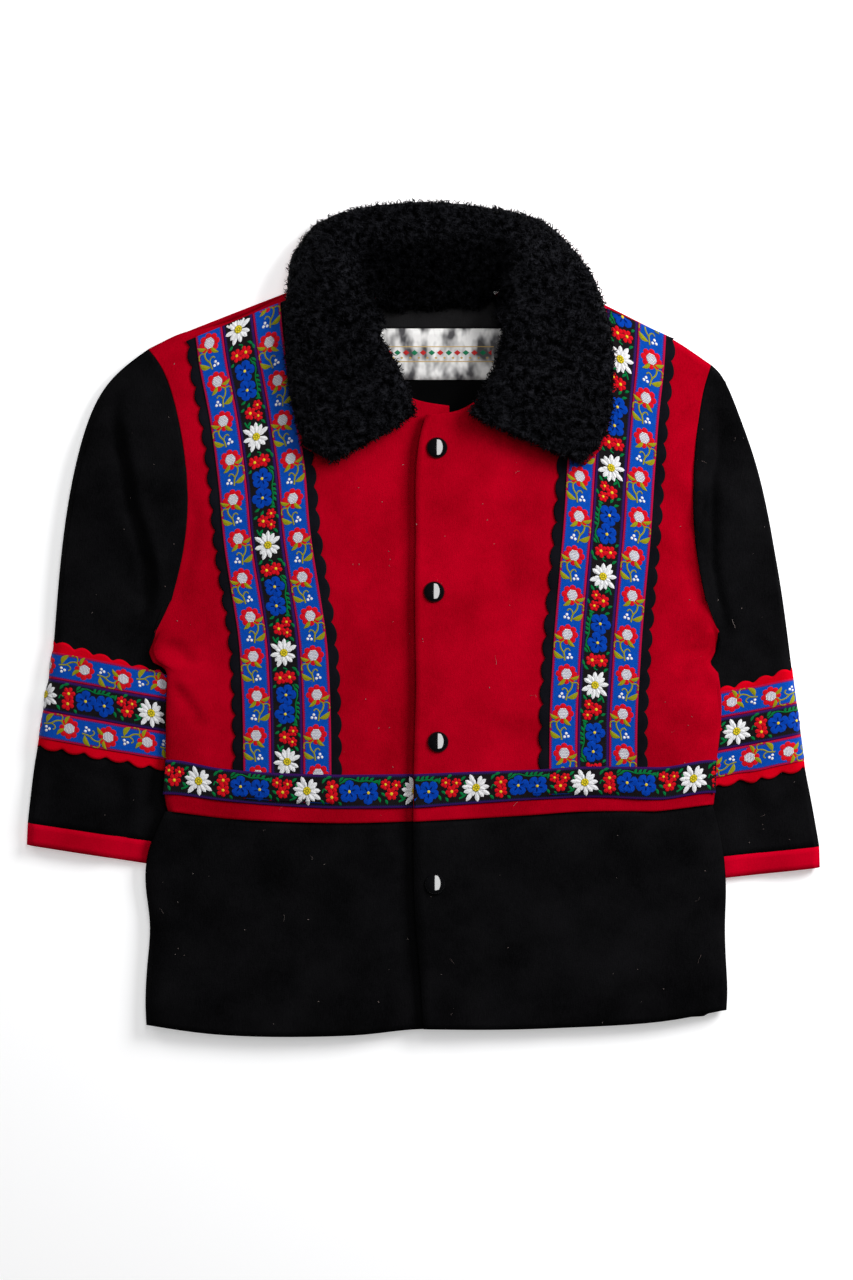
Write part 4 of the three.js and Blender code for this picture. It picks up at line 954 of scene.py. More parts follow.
def ring_grid(corners, cloth, lift, step, backwards, fractions):
    """A grid round a sleeve. fractions gives each column's place over the way round, in metres."""
    length = turns_round(corners, cloth, 2)[1]
    turns, length = turns_round(corners, cloth, int(length / step))
    run = np.linspace(0, length, len(turns))
    grid = np.array([
        [on_sleeve(corners, fraction, turn, cloth, lift) for fraction in fractions(place)]
        for place, turn in zip(run, turns)
    ])
    if backwards:
        grid = grid[::-1]
    closed = grid[:-1]
    mean = (np.roll(closed, 1, axis=0) + 2 * closed + np.roll(closed, -1, axis=0)) / 4
    return np.concatenate([mean, mean[:1]])

# %% Red felt round each sleeve, scalloped on both edges
# About how far apart the scallops are, and how deep.
SLEEVE_PITCH = 14.6 * MM
SLEEVE_SCALLOP = 3.9 * MM
for side in "rl":
    cloth = surface(PANELS[f"sleeve_{side}"])
    node = f"sleeve_felt_{side}"
    corners = band_corners(node, side)
    wide = np.linalg.norm(corners[0] - corners[1])
    length = turns_round(corners, cloth, 2)[1]
    pitch = length / round(length / SLEEVE_PITCH)

    def columns(place):
        """Columns from the lower edge to the upper one, the outer ones in scallops."""
        back = scallop(place, pitch, SLEEVE_SCALLOP) / wide
        lower = [back, back + 0.025, 0.07 + 0.4 * back]
        return [1 - f for f in lower] + list(np.linspace(0.88, 0.12, 9)) + lower[::-1]

    grid = ring_grid(corners, cloth, FELT, ROW_STEP, side == "r", columns)
    left = np.zeros(grid.shape[1])
    FELTS[node] = new_object(node + "_cloth", strip_mesh(node, grid, left, FELT * 0.9), RED_FELT)
    print(node, "round", round(length / MM), "mm,", round(length / pitch), "scallops")

# %% Three ribbons round each sleeve
for side in "rl":
    under = surface(PANELS[f"sleeve_{side}"], FELTS[f"sleeve_felt_{side}"])
    for part, kind in (("blue_upper", "blue"), ("edel", "edel"), ("blue_lower", "blue")):
        node = f"sleeve_{part}_{side}"
        corners = band_corners(node, side)
        forward = kind == "edel" or side == "r"
        order = -ACROSS if forward else ACROSS
        grid = ring_grid(corners, under, RIBBON + 0.1 * MM, RIBBON_STEP, forward == (side == "r"),
                         lambda place: (order + 1) / 2)
        add_ribbon(node, grid, kind)
        print(node, "round", round(distances(grid)[-1] / MM), "mm")

# %% [markdown]
# ## Woven flowers
#
# The flowers are floats of silk that stand a fraction of a millimetre above the ribbon. Every leaf,
# petal and berry is a small shape of a few dozen faces, drawn in the ribbon's own space: X runs along the
# ribbon, Y to its left and Z away from it, in millimetres. Each point carries its colour in an attribute
# called tint, so one silk material serves all of them.

# %% Colours of the silk
WHITE = (0.95, 0.95, 0.97)
RED = (0.74, 0.006, 0.016)
OLIVE = (0.34, 0.33, 0.010)
GREEN = (0.003, 0.20, 0.050)
GENTIAN = (0.002, 0.058, 0.46)
BLUE_SHADE = (0.001, 0.018, 0.16)
YELLOW = (0.90, 0.68, 0.030)
PALE = (0.40, 0.38, 0.52)

# %% Leaves, buttons and stems that a motif is made of
# How high the edges of a shape stand, in mm.
HEM = 0.05


def raised_band(rows):
    """A band with a raised middle, from rows of (middle, way to its left edge, height of its middle)."""
    points, faces = [], []
    for middle, aside, height in rows:
        points += [(*(middle - aside), HEM), (*middle, height), (*(middle + aside), HEM)]
    for k in range(0, 3 * (len(rows) - 1), 3):
        faces += [(k, k + 3, k + 4, k + 1), (k + 1, k + 4, k + 5, k + 2)]
    return points, faces


def leaf(base, tip, wide, bend, rise=0.35, count=6):
    """A pointed leaf with a raised middle, bent to its left by a share of its length."""
    base, tip = np.array(base, float), np.array(tip, float)
    along = tip - base
    left = np.array([-along[1], along[0]])
    rows = []
    for i in range(count):
        t = i / (count - 1)
        middle = base + along * t + left * bend * 4 * t * (1 - t)
        half = left / np.linalg.norm(left) * wide / 2 * max(0.12, math.sin(math.pi * t) ** 0.75)
        rows.append((middle, half, rise * (0.35 + 0.65 * math.sin(math.pi * t))))
    return raised_band(rows)


def button(centre, radius, rise, sides=8):
    """A low round dome."""
    points = [(centre[0], centre[1], rise)]
    for share, height in ((0.6, 0.85 * rise), (1.0, HEM)):
        for i in range(sides):
            turn = math.tau * i / sides
            points.append((centre[0] + radius * share * math.cos(turn),
                           centre[1] + radius * share * math.sin(turn), height))
    faces = []
    for i in range(sides):
        j = (i + 1) % sides
        faces += [(0, 1 + i, 1 + j), (1 + i, 1 + sides + i, 1 + sides + j, 1 + j)]
    return points, faces


def stem(line, wide=0.9, rise=0.3):
    """A raised band along a bent line."""
    line = smooth_line(np.array(line, float), 3 * len(line))
    ahead = np.gradient(line, axis=0)
    left = np.stack([-ahead[:, 1], ahead[:, 0]], axis=1) / np.linalg.norm(ahead, axis=1, keepdims=True)
    return raised_band([(place, aside, rise) for place, aside in zip(line, left * wide / 2)])

# %% Petals and blooms
# Height of a petal's middle, in mm.
PETAL_RISE = 0.42
# Half widths of a petal along its length, as shares of the whole.
BLUNT = ((0, 0.30), (0.3, 0.62), (0.62, 0.97), (0.86, 0.80), (1, 0.16))
POINTED = ((0, 0.34), (0.28, 0.72), (0.55, 1.0), (0.8, 0.66), (1, 0.05))
LONG = ((0, 0.40), (0.3, 0.68), (0.62, 1.0), (0.84, 0.76), (1, 0.10))


def petal(base, tip, wide, outline):
    """A petal between two points, raised along its middle."""
    base, tip = np.array(base, float), np.array(tip, float)
    along = tip - base
    left = np.array([-along[1], along[0]]) / np.linalg.norm(along)
    return raised_band([
        (base + along * t, left * wide / 2 * half, PETAL_RISE * (0.3 + 0.7 * half)) for t, half in outline
    ])


def bloom(centre, petals, inner, reach, wide, start, uneven=0.0, seed=1, outline=BLUNT):
    """Petals round a centre, their lengths and angles a little uneven.

    reach gives the length of the petals along the ribbon and across it.
    """
    rng = random.Random(seed)
    shapes = []
    for i in range(petals):
        turn = start + math.tau * (i + uneven * rng.uniform(-0.4, 0.4)) / petals
        ahead = (math.cos(turn), math.sin(turn))
        outer = math.hypot(reach[0] * ahead[0], reach[1] * ahead[1]) * (1 + uneven * rng.uniform(-0.3, 0.15))
        base, tip = ([centre[a] + ahead[a] * far for a in (0, 1)] for far in (inner, outer))
        shapes.append(petal(base, tip, wide, outline))
    return shapes

# %% Motif of the blue ribbon: a strawberry-like flower, its stem, leaves and berries
# Lobes of the flower, how far apart the white dots in it are, and how far from its middle they reach.
RED_LOBES = 8
DOT_STEP, DOTS_REACH = 1.05, 3.55


def flower_shapes():
    """(shape, colour, height above the ribbon) for one flower that looks along +X."""
    shapes = []
    for i in range(RED_LOBES):
        turn = math.tau * i / RED_LOBES
        place = (5.2 * math.cos(turn) * 0.94, 5.2 * math.sin(turn) * 1.06)
        shapes.append((button(place, 2.3, 0.35), RED, 0.0))
    shapes.append((button((0, 0), 3.8, 0.30, 14), PALE, 0.16))
    for row in range(-3, 4):
        for column in range(-3, 4):
            place = (row * DOT_STEP, column * DOT_STEP + (0.5 if row % 2 else 0.0))
            if math.hypot(*place) < DOTS_REACH:
                shapes.append((button(place, 0.52, 0.2, 5), WHITE, 0.44))
    shapes += [
        (leaf((-2.6, 0.6), (-8.2, 5.8), 2.7, 0.12), OLIVE, 0.25),
        (leaf((-3.0, -2.8), (-0.6, -9.0), 2.6, -0.16), OLIVE, 0.25),
        (stem([(-3.9, -1.6), (-6.4, -4.4), (-10, -3.9), (-13.3, -1.6), (-18.4, -0.6)], 1.1), OLIVE, 0.05),
        (stem([(-6, -4.6), (-5.6, -7.2), (-7.4, -8.9), (-10, -8.6)]), OLIVE, 0.05),
        (stem([(-13.0, -1.6), (-10.6, -0.4), (-9.9, 1.3), (-11.3, 2.6)]), OLIVE, 0.05),
        (leaf((-16.6, -1.6), (-12.2, -8.7), 3.6, -0.16), OLIVE, 0.1),
    ]
    for place in ((-13.9, 2.6), (-16.3, 1.4), (-15.9, 4.0)):
        shapes.append((button(place, 1.05, 0.35, 7), WHITE, 0.05))
    return shapes


def placed(shapes, along, left, mirrored=False):
    """The shapes moved along a ribbon and to its left, or mirrored across it as well."""
    turn = -1 if mirrored else 1
    return [
        (([(x + along, turn * y + left, z + base) for x, y, z in points], faces), colour)
        for (points, faces), colour, base in shapes
    ]

# %% Motif of the dark ribbon: edelweiss, red flowers, gentians and small leaves
def edelweiss():
    """Two rounds of white woolly petals about a heart of yellow knots."""
    shapes = [(s, WHITE, 0.15) for s in bloom((0, 0), 11, 1.5, (11.6, 9.2), 3.2, 0.15, 0.8, 4, LONG)]
    shapes += [(s, WHITE, 0.38) for s in bloom((0, 0), 8, 1.5, (7.6, 6.6), 2.3, 0.5, 0.6, 9, LONG)]
    shapes.append((button((0, 0), 2.9, 0.3, 10), OLIVE, 0.62))
    knots = [(1.9 * math.cos(math.tau * i / 7), 1.9 * math.sin(math.tau * i / 7)) for i in range(7)]
    return shapes + [(button(place, 0.85, 0.3, 6), YELLOW, 0.78) for place in [*knots, (0, 0)]]


def small_bloom(centre, petals, reach, wide, colour, heart, start):
    """A round flower of one colour with a yellow heart."""
    shapes = [(s, colour, 0.12) for s in bloom(centre, petals, 0.5, (reach, reach), wide, start, 0.15)]
    return shapes + [(button(centre, heart, 0.3, 8), YELLOW, 0.5)]


# Small leaves: where each one starts and ends, in mm along the ribbon and to its left.
LEAVES = [
    ((10.4, 5.2), (13.4, 8.8)), ((9.6, -5.6), (12.4, -8.6)), ((13.0, 8.2), (16.8, 9.6)),
    ((22.2, 6.2), (25.4, 9.2)), ((22.0, -6.8), (24.2, -9.0)), ((24.8, 5.6), (28.0, 8.6)),
    ((35.0, 6.6), (36.2, 9.6)), ((37.6, 6.0), (39.8, 9.4)), ((40.4, 6.6), (43.0, 9.4)),
    ((43.6, 6.0), (46.8, 8.8)), ((46.2, 4.6), (49.8, 7.2)), ((49.6, -3.4), (51.6, -7.2)),
    ((51.8, -1.0), (54.8, -3.2)), ((50.2, 4.0), (51.2, 8.0)), ((56.0, 7.6), (59.2, 9.4)),
    ((64.8, -2.4), (67.6, -5.4)), ((65.6, 5.2), (68.8, 8.0)), ((54.8, -5.4), (56.6, -8.4)),
]


def meadow_shapes():
    """Everything that one repeat of the dark ribbon carries."""
    shapes = edelweiss()
    for place, start in (((17.2, 3.1), 0.2), ((17.4, -3.7), 0.7)):
        shapes += small_bloom(place, 6, 4.7, 3.1, RED, 1.05, start)
    for place, start in (((29.6, 0.0), 0.3), ((43.0, -0.9), 0.9)):
        shapes += small_bloom(place, 5, 7.6, 6.6, GENTIAN, 1.05, start)
        streaks = bloom(place, 5, 1.2, (4.6, 4.6), 1.2, start, outline=POINTED)
        shapes += [(streak, BLUE_SHADE, 0.34) for streak in streaks]
    for place, reach, start in (((54.9, 4.4), 3.7, 0.5), ((59.2, -1.7), 4.5, 0.1), ((62.4, 3.8), 3.6, 0.8)):
        shapes += small_bloom(place, 6, reach, reach * 0.68, RED, 0.24 * reach, start)
    shapes += [(leaf(base, tip, 1.9, 0.08, 0.3, 5), GREEN, 0.05) for base, tip in LEAVES]
    shapes += [
        (stem([(22.6, 5.0), (29.0, 8.2), (36.0, 6.6), (43.0, 6.8), (49.6, 5.6)], 0.9), GREEN, 0.02),
        (stem([(64.4, -6.8), (68.2, -5.0), (69.6, -0.6), (68.0, 4.4)], 1.2), GREEN, 0.02),
        (stem([(10.6, -1.0), (11.8, 1.4), (13.6, 0.4)], 0.9), GREEN, 0.02),
    ]
    return shapes

# %% Motif meshes
def motif_object(name, shapes):
    """A mesh of all the shapes, facing up, with the tint of each point."""
    points, faces, tints = [], [], []
    for (corners, sides), colour in shapes:
        first = len(points)
        points += [(x * MM, y * MM, z * MM) for x, y, z in corners]
        tints += [(*colour, 1.0)] * len(corners)
        for side in sides:
            outline = [corners[i] for i in side]
            area = sum(a[0] * b[1] - b[0] * a[1] for a, b in zip(outline, outline[1:] + outline[:1]))
            faces.append([first + i for i in (side if area > 0 else side[::-1])])
    mesh = plain_mesh(name, points, faces)
    layer = mesh.color_attributes.new("tint", "FLOAT_COLOR", "POINT")
    layer.data.foreach_set("color", np.array(tints).ravel())
    print(name, len(faces), "faces")
    return linked(name, mesh)


# Length of one repeat of each ribbon.
BLUE_REPEAT = 55.4 * MM
EDEL_REPEAT = 76.2 * MM
PAIR = (placed(flower_shapes(), 0, -0.6)
        + placed(flower_shapes(), BLUE_REPEAT / 2 / MM, 0.6, mirrored=True))
MOTIFS = {
    "blue": motif_object("flower_pair", PAIR),
    "edel": motif_object("meadow", placed(meadow_shapes(), 0, 0)),
}

# %% [markdown]
# The weaving itself is a Geometry Nodes tree. It sets the motif out along a straight line, as many times
# as the ribbon is long, makes real mesh of it, and then looks up every point in the ribbon's UV map: a
# point that is 80 mm along and 4 mm to the left goes to that place on the real, bent ribbon, and stands
# off it along its normal. Points past the ribbon's end find no place and are deleted.

# %% Geometry Nodes: weave a motif on a ribbon
def build_weaving():
    """The tree that repeats a motif along a ribbon and bends it to the ribbon's shape."""
    tree, start, end = new_group("weave_motif", "GeometryNodeTree", [
        ("INPUT", "Ribbon", "NodeSocketGeometry", None),
        ("INPUT", "Motif", "NodeSocketObject", None),
        ("INPUT", "Repeat", "NodeSocketFloat", 0.05),
        ("INPUT", "First", "NodeSocketFloat", 0.0),
        ("INPUT", "Count", "NodeSocketInt", 4),
        ("INPUT", "Silk", "NodeSocketMaterial", None),
        ("OUTPUT", "Flowers", "NodeSocketGeometry", None),
    ])
    given = start.outputs
    first = add_node(tree, "ShaderNodeCombineXYZ", {"X": given["First"]}).outputs[0]
    step = add_node(tree, "ShaderNodeCombineXYZ", {"X": given["Repeat"]}).outputs[0]
    line = add_node(tree, "GeometryNodeMeshLine", {
        "Count": given["Count"], "Start Location": first, "Offset": step}, mode="OFFSET").outputs[0]
    motif = add_node(tree, "GeometryNodeObjectInfo", {"Object": given["Motif"]}).outputs["Geometry"]
    row = add_node(tree, "GeometryNodeInstanceOnPoints", {"Points": line, "Instance": motif}).outputs[0]
    real = add_node(tree, "GeometryNodeRealizeInstances", {"Geometry": row}).outputs[0]
    place = add_node(tree, "GeometryNodeInputPosition").outputs[0]
    kept = add_node(tree, "GeometryNodeStoreNamedAttribute", {
        "Geometry": real, "Name": "ribbon_place", "Value": place},
        data_type="FLOAT_VECTOR", domain="POINT").outputs[0]
    uv = add_node(tree, "GeometryNodeInputNamedAttribute", {"Name": "UVMap"},
                  data_type="FLOAT_VECTOR").outputs["Attribute"]
    found = {}
    for name, kind in (("place", "GeometryNodeInputPosition"), ("normal", "GeometryNodeInputNormal")):
        value = add_node(tree, kind).outputs[0]
        found[name] = add_node(tree, "GeometryNodeSampleUVSurface", {
            "Mesh": given["Ribbon"], "Value": value, "UV Map": uv, "Sample UV": place},
            data_type="FLOAT_VECTOR").outputs
    missed = add_node(tree, "FunctionNodeBooleanMath", {0: found["place"]["Is Valid"]}, operation="NOT")
    trimmed = add_node(tree, "GeometryNodeDeleteGeometry", {
        "Geometry": kept, "Selection": missed.outputs[0]}, domain="POINT").outputs[0]
    height = add_node(tree, "ShaderNodeSeparateXYZ", {0: place}).outputs["Z"]
    off = add_node(tree, "ShaderNodeVectorMath", {
        0: found["normal"]["Value"], "Scale": height}, operation="SCALE").outputs[0]
    target = add_node(tree, "ShaderNodeVectorMath", {0: found["place"]["Value"], 1: off}).outputs[0]
    moved = add_node(tree, "GeometryNodeSetPosition", {"Geometry": trimmed, "Position": target}).outputs[0]
    whole = add_node(tree, "GeometryNodeRealizeInstances", {"Geometry": moved}).outputs[0]
    silk = add_node(tree, "GeometryNodeSetMaterial", {"Geometry": whole, "Material": given["Silk"]})
    tree.links.new(silk.outputs[0], end.inputs["Flowers"])
    return tree


WEAVING = build_weaving()
print(WEAVING.name, len(WEAVING.nodes), "nodes")

# %% Helper: run a tree on an object and keep the plain mesh
def grown(base, tree, name, material, **inputs):
    """The mesh that a Geometry Nodes tree makes of a base object, as an object of its own."""
    modifier = base.modifiers.new(tree.name, "NODES")
    modifier.node_group = tree
    for item in tree.interface.items_tree:
        key = item.name.replace(" ", "_")
        if item.in_out == "INPUT" and key in inputs:
            modifier[item.identifier] = inputs[key]
    made = applied(base)
    made.name = name
    made.data.name = name
    if made.data.materials[:] != [material]:
        made.data.materials.clear()
        made.data.materials.append(material)
    return made

# %% Places of the flowers
# Where a flower of each ribbon stands, in mm: on X (0) or on Y (1), on the face that is seen.
FLOWER_AT = {
    "front_blue_outer_r": (1, 112.0), "front_blue_inner_r": (1, 112.8), "front_edel_r": (1, 128.8),
    "front_blue_outer_l": (1, 127.4), "front_blue_inner_l": (1, 127.0), "front_edel_l": (1, 107.3),
    "waist_ribbon_r": (0, -91.2), "waist_ribbon_l": (0, 103.9), "waist_ribbon_back": (0, 12.0),
    "sleeve_blue_upper_r": (0, -218.0), "sleeve_edel_r": (0, -198.8), "sleeve_blue_lower_r": (0, -228.9),
    "sleeve_blue_upper_l": (0, 206.9), "sleeve_edel_l": (0, 210.7), "sleeve_blue_lower_l": (0, 219.5),
}


def run_at(grid, axis, value, side):
    """How far along a ribbon its middle passes a place, on the face that looks up or down."""
    middle = grid[:, grid.shape[1] // 2]
    facing = side * outward(grid)[:, grid.shape[1] // 2, 2] > 0.5
    gap = np.where(facing, abs(middle[:, axis] - value * MM), 1.0)
    return distances(grid)[gap.argmin()]

# %% Weave all the ribbons
FLOWERS = {}
for node, record in RIBBONS.items():
    grid, left = record["grid"], record["left"]
    repeat = BLUE_REPEAT if record["kind"] == "blue" else EDEL_REPEAT
    side = -1 if node.endswith("back") else 1
    start = run_at(grid, *FLOWER_AT[node], side)
    first = start - math.ceil(start / repeat + 1) * repeat
    count = math.ceil((distances(grid)[-1] - first) / repeat) + 1
    mesh = sheet_mesh("sheet", grid, left)
    mesh.shade_smooth()
    sheet = linked("sheet", mesh)
    FLOWERS[node] = grown(sheet, WEAVING, "flowers_" + node, SILK, Motif=MOTIFS[record["kind"]],
                          Repeat=repeat, First=first, Count=count, Silk=SILK)
    print(FLOWERS[node].name, len(FLOWERS[node].data.polygons), "faces")
for motif in MOTIFS.values():
    bpy.data.objects.remove(motif)

# %% Flowers under the ribbon round the waist
def cleared_under(flowers, cover):
    """Removes the flowers that another ribbon covers, since they would show through it."""
    over = surface(cover)
    bm = bmesh.new()
    bm.from_mesh(flowers.data)
    hidden = []
    for face in bm.faces:
        middle = face.calc_center_median()
        if over.ray_cast(Vector((middle.x, middle.y, -RAY_START)), Vector((0, 0, 1)))[0]:
            hidden.append(face)
    bmesh.ops.delete(bm, geom=hidden, context="FACES")
    bm.to_mesh(flowers.data)
    bm.free()


for node, flowers in FLOWERS.items():
    if node.startswith("front_"):
        cleared_under(flowers, RIBBONS["waist_ribbon_" + node[-1]]["piece"])

# %% [markdown]
# ## Scattering small things on cloth
#
# Fur and lint are both many copies of one small shape, stood or laid on a surface at random. One Geometry
# Nodes tree does both: it picks points on the faces that look far enough up, turns each copy to the
# surface, leans and spins it by chance, and gives it a chance size. The seed is fixed, so that the same
# jacket comes out each time.

# %% Geometry Nodes: scatter a shape on a surface
def build_scatter():
    """The tree that scatters copies of a shape on the faces of a cloth that look far enough up."""
    tree, start, end = new_group("scatter_on_cloth", "GeometryNodeTree", [
        ("INPUT", "Cloth", "NodeSocketGeometry", None),
        ("INPUT", "Shape", "NodeSocketObject", None),
        ("INPUT", "Density", "NodeSocketFloat", 1000.0),
        ("INPUT", "Facing", "NodeSocketFloat", 0.0),
        ("INPUT", "Lean", "NodeSocketFloat", 0.5),
        ("INPUT", "Smallest", "NodeSocketFloat", 0.7),
        ("INPUT", "Largest", "NodeSocketFloat", 1.3),
        ("INPUT", "Seed", "NodeSocketInt", 1),
        ("INPUT", "Finish", "NodeSocketMaterial", None),
        ("OUTPUT", "Things", "NodeSocketGeometry", None),
    ])
    given = start.outputs
    normal = add_node(tree, "GeometryNodeInputNormal").outputs[0]
    upward = add_node(tree, "ShaderNodeSeparateXYZ", {0: normal}).outputs["Z"]
    shown = add_node(tree, "FunctionNodeCompare", {"A": upward, "B": given["Facing"]},
                     data_type="FLOAT", operation="GREATER_THAN").outputs[0]
    points = add_node(tree, "GeometryNodeDistributePointsOnFaces", {
        "Mesh": given["Cloth"], "Selection": shown, "Density": given["Density"], "Seed": given["Seed"]})
    back = math_node(tree, "MULTIPLY", given["Lean"], -1.0)
    low = add_node(tree, "ShaderNodeCombineXYZ", {0: back, 1: back, 2: -math.pi}).outputs[0]
    high = add_node(tree, "ShaderNodeCombineXYZ", {0: given["Lean"], 1: given["Lean"], 2: math.pi}).outputs[0]
    chance = add_node(tree, "FunctionNodeRandomValue", {
        "Min": low, "Max": high, "Seed": given["Seed"]}, data_type="FLOAT_VECTOR").outputs[0]
    by_chance = add_node(tree, "FunctionNodeEulerToRotation", {0: chance}).outputs[0]
    turned = add_node(tree, "FunctionNodeRotateRotation", {
        "Rotation": points.outputs["Rotation"], "Rotate By": by_chance}, rotation_space="LOCAL").outputs[0]
    size = add_node(tree, "FunctionNodeRandomValue", data_type="FLOAT")
    for socket, name in (("Min", "Smallest"), ("Max", "Largest"), ("Seed", "Seed")):
        live = next(s for s in size.inputs if s.name == socket and s.enabled)
        tree.links.new(given[name], live)
    size_out = next(s for s in size.outputs if s.enabled)
    shape = add_node(tree, "GeometryNodeObjectInfo", {"Object": given["Shape"]}).outputs["Geometry"]
    many = add_node(tree, "GeometryNodeInstanceOnPoints", {
        "Points": points.outputs["Points"], "Instance": shape, "Rotation": turned, "Scale": size_out})
    real = add_node(tree, "GeometryNodeRealizeInstances", {"Geometry": many.outputs[0]}).outputs[0]
    finish = add_node(tree, "GeometryNodeSetMaterial", {"Geometry": real, "Material": given["Finish"]})
    tree.links.new(finish.outputs[0], end.inputs["Things"])
    return tree


SCATTER = build_scatter()
print(SCATTER.name, len(SCATTER.nodes), "nodes")

# %% A curl to be scattered, and a copy of a cloth to scatter it on
def twist(name, length, thick, curl, turns, rings, tip=0.4):
    """A curled lock or fibre that stands along +Z: a three-sided tube on a widening spiral."""
    points, faces = [], []
    for i in range(rings):
        t = i / (rings - 1)
        middle = (curl * t * math.cos(turns * math.tau * t), curl * t * math.sin(turns * math.tau * t))
        radius = thick / 2 * (1 - (1 - tip) * t)
        for k in range(3):
            turn = math.tau * k / 3
            points.append((middle[0] + radius * math.cos(turn), middle[1] + radius * math.sin(turn),
                           length * t))
    for i in range(rings - 1):
        for k in range(3):
            a, b = 3 * i + k, 3 * i + (k + 1) % 3
            faces.append((a, b, b + 3, a + 3))
    faces.append((3 * rings - 3, 3 * rings - 2, 3 * rings - 1))
    mesh = plain_mesh(name, points, faces)
    mesh.shade_smooth()
    return linked(name, mesh)


def copy_of(piece):
    """A bare copy of a piece, for things to be scattered on."""
    return linked("bare", piece.data.copy())

# %% [markdown]
# ## The collar
#
# The collar is plush, a knitted cloth with a dense curly pile, with a red wool under-collar that shows as
# a thin edge. The pile's body is the CAD solid, rounded and lumpy, and thousands of short curled locks
# stand on it. They give the fuzzy outline that a smooth shape can't have.

# %% Finish of the pile
def between(tree, value, start, end):
    """A smooth rise from 0 to 1 of a value that goes from start to end."""
    node = add_node(tree, "ShaderNodeMapRange", {0: value, 1: start, 2: end}, interpolation_type="SMOOTHSTEP")
    return node.outputs[0]


# How much darker the pile is in the collar's hollow, where it shades itself.
HOLLOW_SHADE = 0.65


def build_fur():
    """Nearly black curls with a faint blue, in clumps of partly random tone and partly painted highlights,
    with painted shade in the hollow behind the neck.
    """
    material, tree, shader = new_material("fur_pile", Roughness=0.62, Specular_IOR_Level=0.10)
    at = object_coordinates(tree)
    # Lighter clumps: partly the pile's own uneven tone, partly painted highlights standing in for glints on
    # the curls.
    clumps_and_glints = between(tree, noise_node(tree, at, 240.0, 3.0), 0.32, 0.74)
    colour = blend_colours(tree, clumps_and_glints, rgb(0.0006, 0.0006, 0.0008), rgb(0.0135, 0.0138, 0.0170))
    parts = add_node(tree, "ShaderNodeSeparateXYZ", {0: at})
    aside = between(tree, math_node(tree, "ABSOLUTE", parts.outputs[0]), 60 * MM, 44 * MM)
    above = between(tree, parts.outputs[1], 205 * MM, 222 * MM)
    below = between(tree, parts.outputs[1], 278 * MM, 256 * MM)
    hollow = math_node(tree, "MULTIPLY", aside, math_node(tree, "MULTIPLY", above, below))
    shaded = math_node(tree, "MULTIPLY", hollow, HOLLOW_SHADE)
    colour = blend_colours(tree, shaded, colour, rgb(0, 0, 0))
    tree.links.new(colour, shader.inputs["Base Color"])
    bump(tree, shader, noise_node(tree, at, 900.0, 2.0), 0.7, 0.8 * MM)
    return material


FUR = build_fur()
print("pile:", FUR.name)

# %% Shape of the pile
# The middle of the neck's opening, seen from above, and the two corners at its back.
NECK_MIDDLE = np.array((0, 195)) * MM
NECK_CORNERS = np.array([(-46, 225), (45, 229)]) * MM


def lumpy(made, size, amount, seed):
    """Moves points along their normals by noise, which makes the pile uneven on all but its underside."""
    points = places(made.data)
    normals = np.array([v.normal for v in made.data.vertices])
    amounts = np.array([noise.noise((x / size, y / size, z / size + seed)) for x, y, z in points])
    amounts *= ease(-0.7, 0.1, normals[:, 2])
    move_to(made.data, points + normals * (amount * amounts)[:, None])


def from_neck(points):
    """The ways from the middle of the neck to some points, and how far each one is."""
    ways = points[:, :2] - NECK_MIDDLE
    return ways, np.linalg.norm(ways, axis=1)


def combed(made):
    """Spreads the pile outward from the neck, or draws it inward, by a few millimetres."""
    points = places(made.data)
    ways, far = from_neck(points)
    x, y = points[:, 0], points[:, 1]
    edge = ease(60 * MM, 74 * MM, far)
    # Outward over the sides and, more, over the back.
    spread = edge * ease(118 * MM, 150 * MM, y) * 1.3
    spread += ease(225 * MM, 250 * MM, y) * edge * 0.8
    # Inward at the tip of the left fall, all round the neck, and well into the neck's two back corners.
    spread -= edge * (1 - ease(112 * MM, 136 * MM, y)) * ease(0, 40 * MM, x) * 1.6
    spread -= (1 - ease(50 * MM, 68 * MM, far)) * 2.0
    for corner in NECK_CORNERS:
        near = np.linalg.norm(points[:, :2] - corner, axis=1)
        spread -= 9.0 * (1 - ease(10 * MM, 28 * MM, near))
    # Down in the hollow behind the neck.
    hollow = (1 - ease(42 * MM, 58 * MM, abs(x))) * ease(212 * MM, 232 * MM, y)
    hollow *= 1 - ease(250 * MM, 274 * MM, y)
    points[:, :2] += ways * (spread * MM / far)[:, None]
    points[:, 2] -= 3.0 * MM * hollow * ease(14 * MM, 20 * MM, points[:, 2])
    move_to(made.data, points)

# %% Both halves of the collar, with their locks
# One lock: its length, its thickness, how wide it curls and how many turns it makes. Then how many of
# them would stand on a square metre.
LOCK = twist("lock", 3.6 * MM, 1.10 * MM, 1.1 * MM, 0.80, 5)
LOCKS_PER_M2 = 420000.0
COLLAR = {}
for side in "rl":
    node = f"collar_fur_{side}"
    base = rounded(node, node + "_cloth", FUR, 3)
    lumpy(base, size=5 * MM, amount=1.3 * MM, seed=2.0)
    combed(base)
    locks = grown(copy_of(base), SCATTER, node + "_locks", FUR, Shape=LOCK, Density=LOCKS_PER_M2,
                  Facing=-0.15, Lean=1.15, Smallest=0.6, Largest=1.2, Seed=5, Finish=FUR)
    COLLAR[node] = (base, locks)
    print(node, len(base.data.polygons), "faces,", len(locks.data.polygons), "faces of locks")
bpy.data.objects.remove(LOCK)

# %% Under-collar
# How far its edge round the neck is tucked back under the pile.
TUCKED_BACK = 5 * MM
UNDER_COLLAR = rounded("collar_under", "collar_under_cloth", RED_WOOL, 2)
points = places(UNDER_COLLAR.data)
ways, far = from_neck(points)
points[:, :2] += ways * (TUCKED_BACK * (1 - ease(48 * MM, 84 * MM, far)) / far)[:, None]
move_to(UNDER_COLLAR.data, points)
print("collar_under", len(UNDER_COLLAR.data.polygons), "faces")
